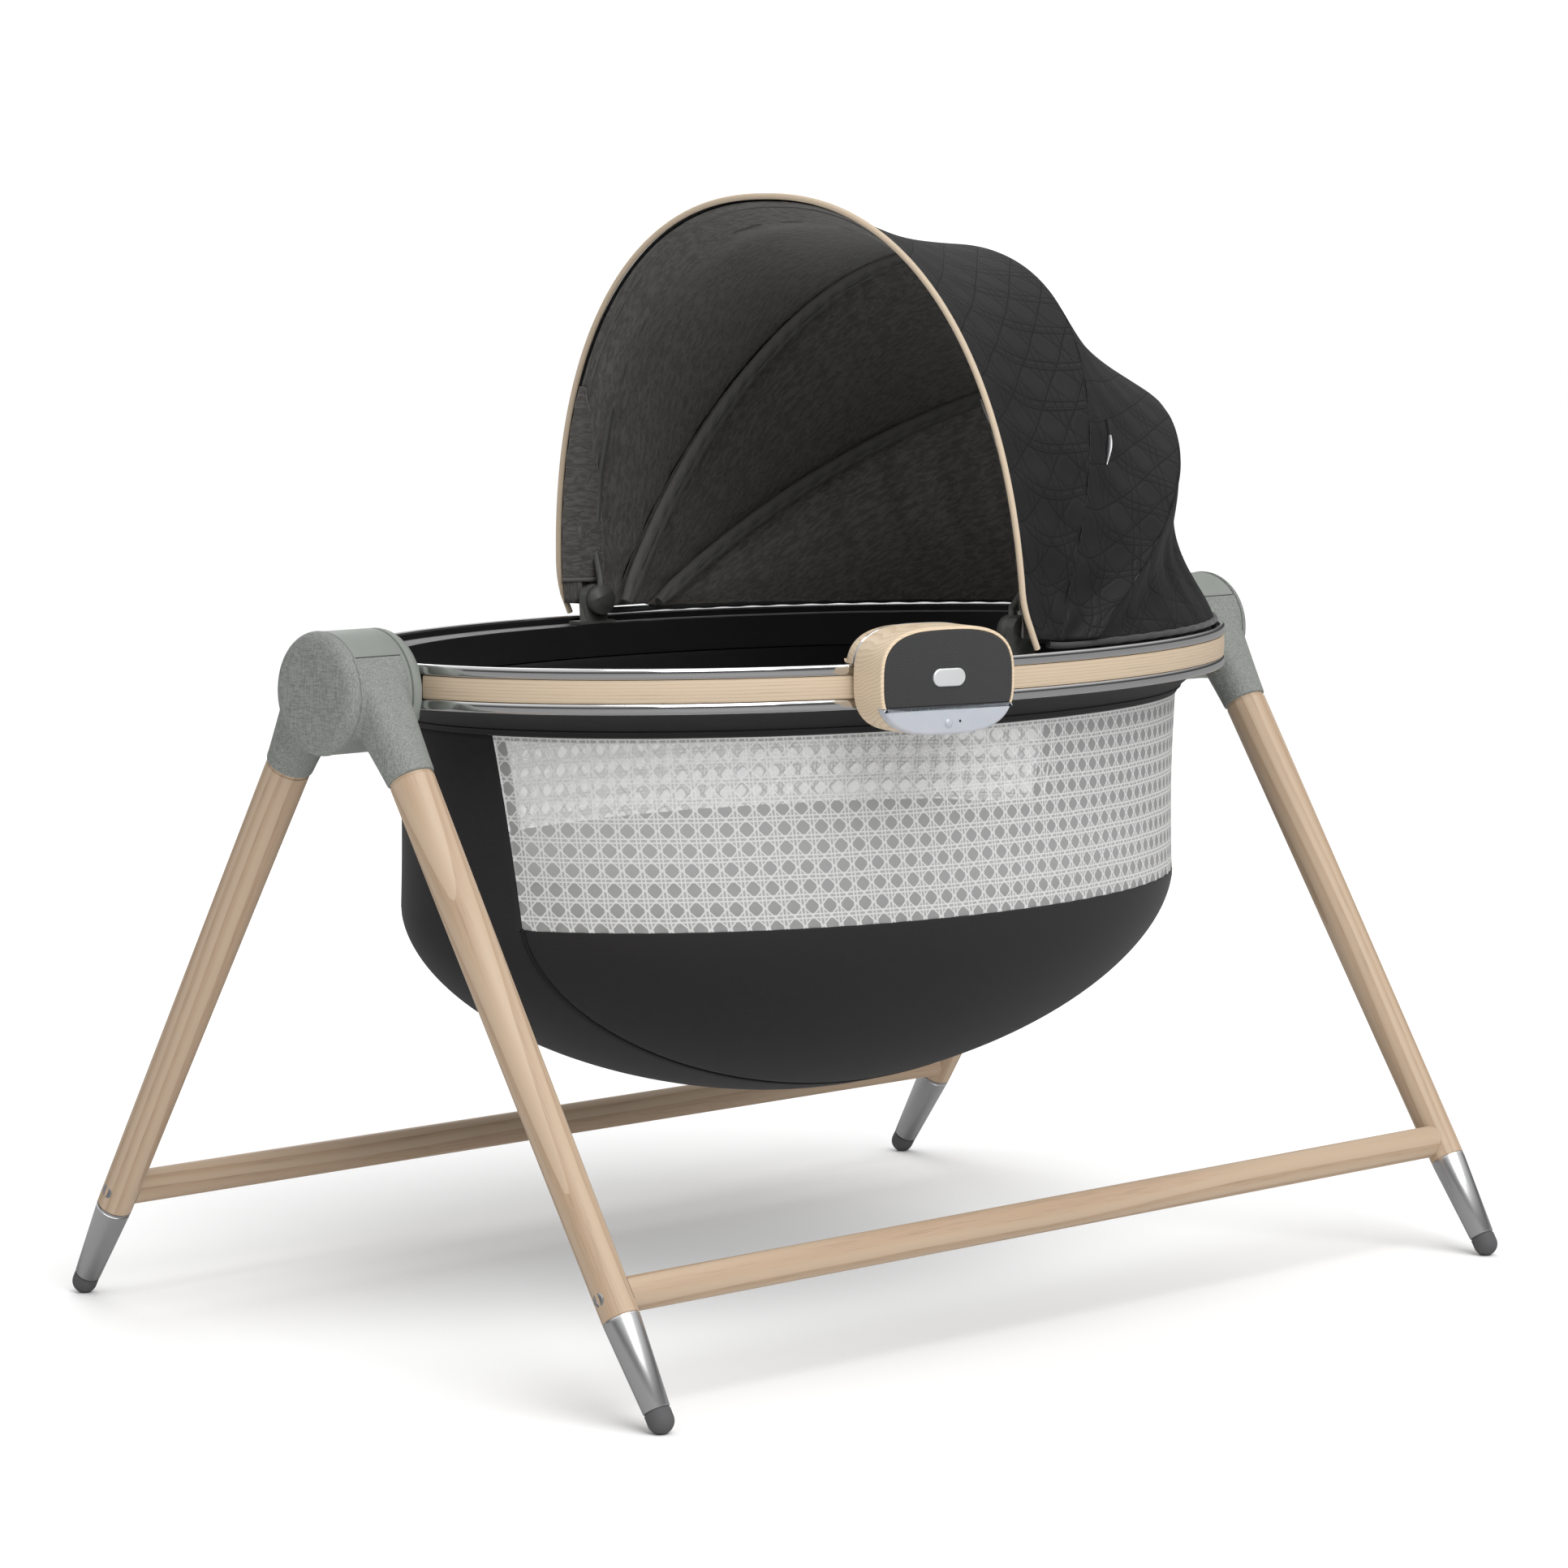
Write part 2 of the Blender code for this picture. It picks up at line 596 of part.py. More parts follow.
def add_basket_fabric(basket):
    """The stretched cover: skirt, end panels and hull, open where the windows are."""
    top = FRAME_BOTTOM - FABRIC
    walls = [top, (top + WINDOW_TOP_Z) / 2, WINDOW_TOP_Z, HOOP_Z]
    hull = [HOOP_Z - (HOOP_Z - BOTTOM_Z) * sin(i * pi / 2 / 6) for i in range(1, 6)]
    heights = walls + hull
    rows = [[wall_point(a, z) for a in panel_angles(z)] for z in heights]
    width = len(rows[0])
    points = [point for row in rows for point in row] + [(0, 0, BOTTOM_Z)]
    window_row = walls.index(WINDOW_TOP_Z)
    faces = []
    for r in range(len(heights) - 1):
        for c in range(width):
            on_side = c % (END_STEPS + SIDE_STEPS) >= END_STEPS
            if r == window_row and on_side:
                continue
            d = (c + 1) % width
            faces.append((r * width + d, r * width + c, (r + 1) * width + c, (r + 1) * width + d))
    last = (len(heights) - 1) * width
    faces += [(last + (c + 1) % width, last + c, len(points) - 1) for c in range(width)]
    data = bpy.data.meshes.new("basket_fabric")
    data.from_pydata(points, [], faces)
    piece = put("basket_fabric", data, "stretch_fabric", basket)
    thicken = piece.modifiers.new("thickness", "SOLIDIFY")
    thicken.thickness = FABRIC
    thicken.offset = -1.0
    smooth(data)


def add_windows(basket):
    high = WINDOW_TOP_Z - WINDOW_MARGIN
    low = HOOP_Z + WINDOW_MARGIN
    for start, name in ((pi, "front"), (0, "rear")):
        rows = []
        for i in range(2):
            z = high + (low - high) * i
            first = seam_angle(z) + WINDOW_MARGIN / WALL_B
            last = pi - WIDE_SEAM - WINDOW_MARGIN / WALL_B
            angles = [start + first + (last - first) * c / SIDE_STEPS for c in range(SIDE_STEPS + 1)]
            rows.append([wall_point(a, z) for a in reversed(angles)])
        sheet("mesh_window_" + name, rows, FABRIC, "window_mesh", basket)


def add_lower_frame(basket):
    """A steel hoop that spreads the fabric, with a strut up to the rim at each end."""
    inset = FABRIC + FRAME_TUBE + HOOP_CLEARANCE
    hoop = [(x, y, HOOP_Z) for x, y in ellipse(WALL_A - inset, WALL_B - inset, count=40)]
    frame = put("lower_frame", as_mesh(tube_curve("hoop", hoop, FRAME_TUBE, closed=True)), "steel",
                basket)
    foot = WALL_A - inset
    for side in (-1, 1):
        route = [(side * foot, 0, HOOP_Z), (side * (foot - 0.001), 0, WINDOW_TOP_Z - 0.002),
                 (side * (FRAME_A[1] + 0.001), 0, FRAME_BOTTOM - 0.0035)]
        strut = as_mesh(tube_curve("strut", route, FRAME_TUBE - 0.0007))
        combine(frame, cutter(f"strut_{side}", strut), "UNION")


def add_bed(basket):
    low = HOOP_Z + FRAME_TUBE + GAP
    board = plate_curve("board", [ellipse(WALL_A - BOARD_INSET, WALL_B - BOARD_INSET, count=40)],
                        BOARD_THICKNESS)
    middle = Matrix.Translation((0, 0, low + BOARD_THICKNESS / 2))
    put("mattress_board", as_mesh(board, middle), "board", basket)
    low += BOARD_THICKNESS + GAP
    pad = plate_curve("pad", [ellipse(WALL_A - PAD_INSET, WALL_B - PAD_INSET, count=40)],
                      MATTRESS_THICKNESS)
    middle = Matrix.Translation((0, 0, low + MATTRESS_THICKNESS / 2))
    mattress = put("mattress", as_mesh(pad, middle), "mattress_cover", basket)
    soften = mattress.modifiers.new("soft_edge", "BEVEL")
    soften.width = PAD_EDGE_ROUND
    soften.segments = 1
    soften.limit_method = "ANGLE"
    soften.angle_limit = radians(60)


# ---------------------------------------------------------------- canopy
def arc_point(arc, angle):
    """A point of a leaning superellipse arc; angle runs from one root (0) to the other (pi)."""
    c, s = cos(angle), max(0.0, sin(angle))
    across = arc["half"] * (1 if c > 0 else -1) * abs(c) ** (2 / arc["power"])
    reach = arc["height"] * s ** (2 / arc["power"])
    root_x, root_z = arc["root"]
    return (root_x + reach * sin(arc["lean"]), across, root_z + reach * cos(arc["lean"]))


def start_angle(arc, height):
    """The angle at which an arc passes a height."""
    share = max(0.0, height - arc["root"][1]) / cos(arc["lean"]) / arc["height"]
    lifted = share ** (arc["power"] / 2)
    return atan2(lifted, sqrt(1 - lifted * lifted))


def arc_route(arc, start_height, count=16):
    first = start_angle(arc, start_height)
    return [arc_point(arc, first + (pi - 2 * first) * i / (count - 1)) for i in range(count)]


def arc_across(arc, turn):
    """A point of an arc above the hem, where turn runs from 0 to 1 over the whole arc."""
    first = start_angle(arc, CLOTH_START_Z)
    return Vector(arc_point(arc, first + (pi - 2 * first) * turn))


def add_canopy(basket, middle_pivot, front_pivot):
    for front, name in ((-1, "front"), (1, "rear")):
        add_post(front, name, basket)
    rear_tube = tube_curve("rear", arc_route(REAR_BOW, BOW_START_Z), BOW_RADIUS)
    put("canopy_bow_rear", as_mesh(rear_tube), "grey_plastic", basket)
    middle_tube = tube_curve("middle", arc_route(MIDDLE_BOW, BOW_START_Z), BOW_RADIUS)
    put("canopy_bow_middle", as_mesh(middle_tube), "grey_plastic", middle_pivot)
    add_front_bow(front_pivot)
    piping = tube_curve("piping", arc_route(FRONT_EDGE, FRONT_EDGE["root"][1] + 0.001, 24),
                        PIPING_RADIUS)
    put("canopy_piping", as_mesh(piping), "piping", front_pivot)
    behind_piping = PIPING_RADIUS + PANEL_GAP
    add_panel("canopy_panel_front", FRONT_EDGE, MIDDLE_EDGE, behind_piping, FRONT_SAG,
              front_pivot)
    add_panel("canopy_panel_middle", MIDDLE_EDGE, REAR_EDGE, PANEL_GAP, MIDDLE_SAG,
              middle_pivot)
    add_rear_panel(basket)


def drawn_in(point, sag, share, turn):
    """A point of the cloth, drawn towards the middle of the canopy between its edges."""
    inward = (CANOPY_MIDDLE - point).normalized()
    return point + inward * sag * sin(pi * share) * sqrt(sin(pi * turn))


def add_panel(name, first, second, first_gap, sag, parent, columns=18, steps=3):
    """Cloth between two arcs, a small gap away from each."""
    rows = []
    for r in range(steps + 1):
        row = []
        for c in range(columns + 1):
            p = arc_across(first, c / columns)
            q = arc_across(second, c / columns)
            begin = first_gap / (q - p).length
            end = 1 - PANEL_GAP / (q - p).length
            share = begin + (end - begin) * r / steps
            row.append(drawn_in(p.lerp(q, share), sag, r / steps, c / columns))
        rows.append(row)
    sheet(name, rows, CANOPY_CLOTH, "canopy_cloth", parent)


def add_rear_panel(basket, columns=18, steps=3):
    """Cloth from the rear arc down to the rim, round the head end."""
    rows = []
    for r in range(steps + 1):
        row = []
        for c in range(columns + 1):
            turn = c / columns
            p = arc_across(REAR_EDGE, turn)
            sweep = HEM_SWEEP * (1 - 2 * turn)
            q = Vector((HEM_A * cos(sweep), HEM_B * sin(sweep), HEM_Z))
            begin = REAR_PANEL_GAP / (q - p).length
            share = begin + (1 - begin) * r / steps
            away = Vector((cos(sweep), sin(sweep), 0))
            row.append(p.lerp(q, share) - away * REAR_SAG * sin(pi * share) * sin(pi * turn))
        rows.append(row)
    sheet("canopy_panel_rear", rows, CANOPY_CLOTH, "canopy_cloth", basket)


def add_post(front, name, basket):
    """A post on the rim, round at the top about the canopy's pivot pin."""
    base = FRAME_TOP + GAP
    outline = [(-POST_HALF_WIDTH, base), (POST_HALF_WIDTH, base)]
    outline += [(POST_TOP_RADIUS * cos(i * pi / 10), PIN_Z + POST_TOP_RADIUS * sin(i * pi / 10))
                for i in range(11)]
    thickness = POST_Y[1] - POST_Y[0]
    upright = Matrix(((1, 0, 0, 0), (0, 0, -1, 0), (0, 1, 0, 0), (0, 0, 0, 1)))
    middle = Matrix.Translation((0, front * (POST_Y[0] + POST_Y[1]) / 2, 0))
    data = as_mesh(plate_curve("post", [outline], thickness), middle @ upright)
    post = put("canopy_post_" + name, data, "grey_plastic", basket)
    near, far = sorted((front * (POST_Y[0] - 0.0015), front * (POST_Y[1] + 0.006)))
    flange = box_mesh((-POST_FLANGE_HALF, near, base),
                      (POST_FLANGE_HALF, far, base + POST_FLANGE_THICKNESS))
    combine(post, cutter("post_flange_" + name, flange), "UNION")
    pin = rod_mesh(0.04, PIN_RADIUS + GAP, sides=12)
    hole = along((0, front * (POST_Y[0] - 0.02), PIN_Z), (0, front * POST_Y[1], PIN_Z))
    combine(post, cutter("pin_hole_" + name, pin, hole), "DIFFERENCE")


def add_front_bow(pivot):
    """The front bow: a tube with a disc and a pin at each end, turning in the posts."""
    disc_outer = POST_Y[0] - GAP
    disc_middle = disc_outer - DISC_THICKNESS / 2
    arc = arc_route(FRONT_BOW, 0.705, 16)
    ends = []
    for front in (-1, 1):
        ends.append([(0, front * disc_middle, PIN_Z + 0.004), (0, front * disc_middle, PIN_Z + 0.022)])
    route = [*ends[1], *arc, *reversed(ends[0])]
    bow = put("canopy_bow_front", as_mesh(tube_curve("front", route, BOW_RADIUS)), "grey_plastic",
              pivot)
    for front in (-1, 1):
        inner = (0, front * (disc_outer - DISC_THICKNESS), PIN_Z)
        outer = (0, front * disc_outer, PIN_Z)
        disc = cutter(f"disc_{front}", rod_mesh(DISC_THICKNESS, DISC_RADIUS), along(inner, outer))
        combine(bow, disc, "UNION")
        pin_end = (0, front * (POST_Y[1] + 0.001), PIN_Z)
        middle = (0, front * disc_middle, PIN_Z)
        length = POST_Y[1] + 0.001 - disc_middle
        pin = cutter(f"pin_{front}", rod_mesh(length, PIN_RADIUS, sides=12), along(middle, pin_end))
        combine(bow, pin, "UNION")


# ---------------------------------------------------------------- control unit
def unit_outline(shrink, low=-1.0, high=1.0, count=32):
    """A superellipse about (0, UNIT_Z), clipped between two heights."""
    points = []
    for i in range(count):
        a = 2 * pi * i / count
        x = (UNIT_HALF_WIDTH - shrink) * (1 if cos(a) > 0 else -1) * abs(cos(a)) ** (2 / UNIT_POWER)
        z = (UNIT_HALF_HEIGHT - shrink) * (1 if sin(a) > 0 else -1) * abs(sin(a)) ** (2 / UNIT_POWER)
        points.append((x, z + UNIT_Z))
    if low < 0 and high > 1 - 0.0001:
        return points
    clipped = []
    for (x0, z0), (x1, z1) in zip(points, points[1:] + points[:1]):
        for level in (low, high):
            if (z0 - level) * (z1 - level) < 0:
                share = (level - z0) / (z1 - z0)
                clipped.append((x0 + (x1 - x0) * share, level))
        if low < z1 < high:
            clipped.append((x1, z1))
    return clipped


def unit_frame():
    """Local X along the rim, Y upwards and Z straight out from the rim."""
    y = -RIM_B * sqrt(1 - (UNIT_X / RIM_A) ** 2)
    out = Vector((UNIT_X / RIM_A ** 2, y / RIM_B ** 2, 0)).normalized()
    up = Vector((0, 0, 1))
    right = up.cross(out)
    turn = Matrix((right, up, out)).transposed().to_4x4()
    return Matrix.Translation((UNIT_X, y, 0)) @ turn


def unit_plate(outlines, start, end):
    curve = plate_curve("unit_plate", outlines, end - start)
    return as_mesh(curve, unit_frame() @ Matrix.Translation((0, 0, (start + end) / 2)))


def add_control_unit(basket):
    face = UNIT_FACE - GRILLE_THICKNESS
    shell = put("control_front_housing", unit_plate([unit_outline(0)], UNIT_BACK, face),
                "rim_veneer", basket)
    hollow = unit_plate([unit_outline(UNIT_WALL)], UNIT_BACK - 0.01, face - UNIT_WALL)
    combine(shell, cutter("unit_hollow", hollow), "DIFFERENCE")
    low_part = unit_outline(-0.002, -0.5, LIGHT_SPLIT_Z + GAP)
    notch = unit_plate([low_part], face - LIGHT_DEPTH - GAP, face + 0.01)
    combine(shell, cutter("light_notch", notch), "DIFFERENCE")
    grille = unit_plate([unit_outline(0.0025, LIGHT_SPLIT_Z + 0.001, 2.0)], face + GAP, UNIT_FACE)
    put("speaker_grille", grille, "speaker_cloth", basket)
    low_part = unit_outline(0.0004, -0.5, LIGHT_SPLIT_Z)
    light = put("night_light_diffuser", unit_plate([low_part], face - LIGHT_DEPTH, UNIT_FACE),
                "diffuser", basket)
    add_sensor(light, basket)
    turn = [(BADGE_HALF_WIDTH - BADGE_HALF_HEIGHT + BADGE_HALF_HEIGHT * cos(a * pi / 8),
             BADGE_HALF_HEIGHT * sin(a * pi / 8)) for a in range(-4, 5)]
    pill = [(x, y + UNIT_Z + 0.003) for x, y in turn] + [(-x, -y + UNIT_Z + 0.003) for x, y in turn]
    put("badge_plate", unit_plate([pill], UNIT_FACE + GAP, UNIT_FACE + 0.0016), "badge_metal", basket)
    profile = [(0, 0.020), (0.012, 0.020), (0.012, 0.010), (0.027, 0.002), (0.027, 0), (0, 0)]
    at_speaker = Matrix.Translation((0, UNIT_Z + 0.006, face - UNIT_WALL - GAP))
    place = unit_frame() @ at_speaker @ Matrix.Rotation(pi, 4, "X")
    turned("speaker_driver", profile, "dark_plastic", basket, place, sides=24)
    add_rear_housing(basket)


def add_sensor(light, basket):
    """A domed motion-sensor lens in the middle of the night light."""
    height = UNIT_Z - UNIT_HALF_HEIGHT + 0.0105
    seat = UNIT_FACE - 0.004
    profile = [(LENS_RADIUS * sin(a * pi / 12), seat + LENS_RADIUS * cos(a * pi / 12))
               for a in range(7)]
    profile.append((0, seat))
    place = unit_frame() @ Matrix.Translation((0, height, 0))
    turned("motion_sensor_lens", profile, "clear_lens", basket, place, sides=20)
    pocket = rod_mesh(0.02, LENS_RADIUS + GAP, sides=20)
    hole = cutter("lens_pocket", pocket, place @ Matrix.Translation((0, 0, seat - GAP)))
    combine(light, hole, "DIFFERENCE")


def add_rear_housing(basket):
    """The saddle over the rim and the lip that rests on the ledge inside it."""
    above = BAND_TOP + GAP + RING_HEIGHT + GAP
    depth = SADDLE_DEPTH
    saddle = unit_plate([unit_outline(0.0025, above, 2.0)], -depth, UNIT_BACK - GAP)
    housing = put("control_rear_housing", saddle, "rim_veneer", basket)
    ledge = FRAME_TOP + GAP
    lip = box_mesh((-0.035, ledge, -depth), (0.035, above + 0.004, -depth + 0.004))
    combine(housing, cutter("unit_lip", lip, unit_frame()), "UNION")


# ---------------------------------------------------------------- assembly
def empty(name, location, parent=None):
    marker = bpy.data.objects.new(name, None)
    PARTS.objects.link(marker)
    marker.empty_display_size = 0.05
    if parent:
        marker.parent = parent
        marker.matrix_parent_inverse = parent.matrix_world.inverted()
    marker.matrix_world = Matrix.Translation(location)
    bpy.context.view_layer.update()
    return marker


def build():
    basket = empty("basket_pivot", (0, 0, AXIS_Z))
    middle_pivot = empty("middle_bow_pivot", (0, 0, PIN_Z), basket)
    front_pivot = empty("front_bow_pivot", (0, 0, PIN_Z), middle_pivot)
    for front, name in ((-1, "front"), (1, "rear")):
        holes = [add_leg(side, front, f"{name}_{tag}") for side, tag in ((-1, "left"), (1, "right"))]
        add_rail(front, name, holes)
    for side, tag in ((-1, "left"), (1, "right")):
        add_hub(side, tag)
        add_rotor(side, tag, basket)
    add_motor()
    add_rim(basket)
    add_basket_fabric(basket)
    add_windows(basket)
    add_lower_frame(basket)
    add_bed(basket)
    add_canopy(basket, middle_pivot, front_pivot)
    add_control_unit(basket)


clear_scene()
PARTS = collection("bassinet_on_stand")
CUTTERS = collection("cutters")
build()
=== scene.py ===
"""Looks of a rocking bassinet: cloth, knitted windows, wood, chrome, moulded hubs and light.

The frame gives every place and size.  +X runs along the rocking axis to the canopy end,
-Y is the side with the control unit, +Z is up, and everything is in metres.
"""
import json
from math import atan, atan2, cos, pi, radians, sin, sqrt

import bmesh
import bpy
import numpy as np
from mathutils import Matrix, Vector

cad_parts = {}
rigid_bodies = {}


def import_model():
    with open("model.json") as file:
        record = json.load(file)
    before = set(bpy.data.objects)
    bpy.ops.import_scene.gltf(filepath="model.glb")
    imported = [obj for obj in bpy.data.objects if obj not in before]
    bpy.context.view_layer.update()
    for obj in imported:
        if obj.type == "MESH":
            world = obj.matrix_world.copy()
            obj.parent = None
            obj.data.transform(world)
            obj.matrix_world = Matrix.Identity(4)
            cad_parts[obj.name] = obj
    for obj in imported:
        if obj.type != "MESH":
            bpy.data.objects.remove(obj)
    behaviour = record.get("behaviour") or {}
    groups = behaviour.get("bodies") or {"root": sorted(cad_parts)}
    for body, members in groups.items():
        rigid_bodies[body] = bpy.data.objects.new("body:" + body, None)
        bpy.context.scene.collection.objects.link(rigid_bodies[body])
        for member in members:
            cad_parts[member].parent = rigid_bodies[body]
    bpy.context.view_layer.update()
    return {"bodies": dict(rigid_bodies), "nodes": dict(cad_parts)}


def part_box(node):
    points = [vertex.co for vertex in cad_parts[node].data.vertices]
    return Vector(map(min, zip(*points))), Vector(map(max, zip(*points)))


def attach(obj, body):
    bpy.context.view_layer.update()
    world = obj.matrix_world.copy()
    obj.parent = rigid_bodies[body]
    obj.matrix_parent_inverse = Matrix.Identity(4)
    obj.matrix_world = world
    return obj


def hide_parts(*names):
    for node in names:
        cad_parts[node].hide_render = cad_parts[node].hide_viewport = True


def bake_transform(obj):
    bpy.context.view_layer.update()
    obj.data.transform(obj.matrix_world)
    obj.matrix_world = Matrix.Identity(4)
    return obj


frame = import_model()


# ---------------------------------------------------------------- sizes, from the frame
def centre_of(node):
    low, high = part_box(node)
    return (low + high) / 2


def half_size(node):
    low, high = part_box(node)
    return (high - low) / 2


SIDES = ((-1, "left"), (1, "right"))
FRONTS = ((-1, "front"), (1, "rear"))
UPPER_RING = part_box("chrome_ring_upper")
LOWER_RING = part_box("chrome_ring_lower")
RING_PROUD = 0.0005
RIM_A = UPPER_RING[1].x - RING_PROUD
RIM_B = UPPER_RING[1].y - RING_PROUD
FRAME_LOW, FRAME_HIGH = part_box("rim_frame")
BRACKET_HALF = half_size("rim_bracket_left").y + 0.0002
BAND_LOW, BAND_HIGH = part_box("rim_band_front")
AXIS_Z = centre_of("hub_cover_left").z
HUB_RADIUS = half_size("hub_cover_left").y
HUB_INNER = -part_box("hub_housing_left")[1].x
HUB_OUTER = -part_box("hub_housing_left")[0].x
COVER_OUTER = -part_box("hub_cover_left")[0].x
CAP_INNER = -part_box("rotor_cap_left")[1].x
LEG_X = centre_of("leg_front_left").x
LEG_TOP_RADIUS = half_size("leg_front_left").x
LEG_LOW_RADIUS = half_size("ferrule_front_left").x
FERRULE_TIP_RADIUS = 0.0124
LEG_SLOPE = 0.619
FOOT_Y = 0.415
FOOT_Z = 0.0115
FERRULE_LOW_Z = 0.0195
FERRULE_TOP_Z = 0.093
SOCKET_END_Z = 0.541
LEG_TOP_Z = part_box("leg_front_left")[1].z - LEG_TOP_RADIUS * sin(atan(LEG_SLOPE))

WALL_A = 0.445                  # the basket's wall at the hoop, an ellipse
WALL_B = 0.291
CLOTH_LOW, CLOTH_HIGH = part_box("basket_fabric")
HOOP_Z = 0.390
WINDOW_TOP_Z = 0.570
HULL_POWER = 1.8
SEAM_TOP_Y = 0.052
WIDE_SEAM = 0.59                # angle of an end panel's other seam, which is further round
SEAM_LOW_Y = 0.080
SEAM_KEEL_Y = 0.098
SKIRT_FLARE = 0.094

PIN_Z = 0.655                   # canopy arcs: half superellipses that lean about their roots
FRONT_EDGE = dict(root=(-0.022, 0.650), half=0.3266, lean=-0.0573, height=0.4126, power=2.25)
FRONT_BOW = dict(root=(0.010, 0.655), half=0.3085, lean=-0.0300, height=0.3870, power=2.25)
MIDDLE_EDGE = dict(root=(0.033, 0.645), half=0.3120, lean=0.4500, height=0.4120, power=2.08)
MIDDLE_BOW = dict(root=(0.033, 0.645), half=0.2900, lean=0.4500, height=0.4035, power=2.08)
REAR_EDGE = dict(root=(0.081, 0.645), half=0.3150, lean=0.9550, height=0.4100, power=1.90)
REAR_BOW = dict(root=(0.081, 0.645), half=0.2950, lean=0.9550, height=0.4010, power=1.90)
HEM_A = 0.4955
HEM_B = 0.3215
HEM_Z = 0.6405
HEM_SWEEP = 1.36
CLOTH_START_Z = 0.654
BASKET_MIDDLE = (0, 0, 0.43)    # a point inside the basket, for telling its faces' outsides
CANOPY_MIDDLE = np.array((0.06, 0.0, 0.66))

UNIT_X = -0.152                 # control unit, square to the rim at this place
UNIT_HALF = (0.0732, 0.0495)
UNIT_Z = 0.6225
UNIT_POWER = 3.0
UNIT_FACE = 0.048
UNIT_BACK = 0.0015
SADDLE_DEPTH = 0.0170
GRILLE_BACK = 0.0458
LIGHT_SPLIT_Z = 0.599
LIGHT_BACK = 0.0378


# ---------------------------------------------------------------- shader building
class Tree:
    """Adds nodes to a node tree and links them, so that a material reads as formulas."""

    def __init__(self, tree):
        self.tree = tree

    def add(self, kind, inputs=None, **settings):
        node = self.tree.nodes.new(kind)
        for key, value in settings.items():
            setattr(node, key, value)
        for key, value in (inputs or {}).items():
            if isinstance(value, bpy.types.NodeSocket):
                self.tree.links.new(value, node.inputs[key])
            else:
                node.inputs[key].default_value = value
        return node

    def math(self, operation, a, b=0.0, c=0.0, clamp=False):
        node = self.add("ShaderNodeMath", {0: a, 1: b, 2: c}, operation=operation, use_clamp=clamp)
        return node.outputs[0]

    def vector_math(self, operation, a, b=(0, 0, 0)):
        return self.add("ShaderNodeVectorMath", {0: a, 1: b}, operation=operation).outputs[0]

    def mapping(self, vector, scale=(1, 1, 1), turn=(0, 0, 0), shift=(0, 0, 0)):
        node = self.add("ShaderNodeMapping", {"Vector": vector, "Scale": scale, "Rotation": turn,
                                              "Location": shift})
        return node.outputs[0]

    def noise(self, vector, scale, detail=2.0, rough=0.5, distortion=0.0):
        node = self.add("ShaderNodeTexNoise", {"Vector": vector, "Scale": scale, "Detail": detail,
                                               "Roughness": rough, "Distortion": distortion})
        return node.outputs[0]

    def ramp(self, value, stops):
        node = self.add("ShaderNodeValToRGB", {"Fac": value})
        marks = node.color_ramp.elements
        while len(marks) < len(stops):
            marks.new(0.5)
        for mark, (place, colour) in zip(marks, stops):
            mark.position = place
            mark.color = (*colour, 1.0) if hasattr(colour, "__len__") else (colour,) * 3 + (1.0,)
        return node.outputs[0]

    def mix(self, share, a, b):
        node = self.add("ShaderNodeMix", data_type="RGBA")
        for key, value in (("Factor_Float", share), ("A_Color", a), ("B_Color", b)):
            socket = next(s for s in node.inputs if s.identifier == key)
            if isinstance(value, bpy.types.NodeSocket):
                self.tree.links.new(value, socket)
            else:
                socket.default_value = (*value, 1.0) if hasattr(value, "__len__") else value
        return next(s for s in node.outputs if s.identifier == "Result_Color")

    def smooth_step(self, value, low, high):
        node = self.add("ShaderNodeMapRange", {"Value": value, "From Min": low, "From Max": high},
                        interpolation_type="SMOOTHSTEP")
        return node.outputs[0]


def group(name, inputs, outputs):
    """An empty shader group with named sockets; returns its tree, input node and output node."""
    tree = bpy.data.node_groups.new(name, "ShaderNodeTree")
    kinds = {"v": "NodeSocketVector", "f": "NodeSocketFloat", "c": "NodeSocketColor"}
    for key, kind, value in inputs:
        socket = tree.interface.new_socket(key, in_out="INPUT", socket_type=kinds[kind])
        if value is not None:
            socket.default_value = value
    for key, kind in outputs:
        tree.interface.new_socket(key, in_out="OUTPUT", socket_type=kinds[kind])
    made = Tree(tree)
    return made, made.add("NodeGroupInput").outputs, made.add("NodeGroupOutput").inputs


def use_group(tree, shared, inputs):
    return tree.add("ShaderNodeGroup", inputs, node_tree=shared).outputs


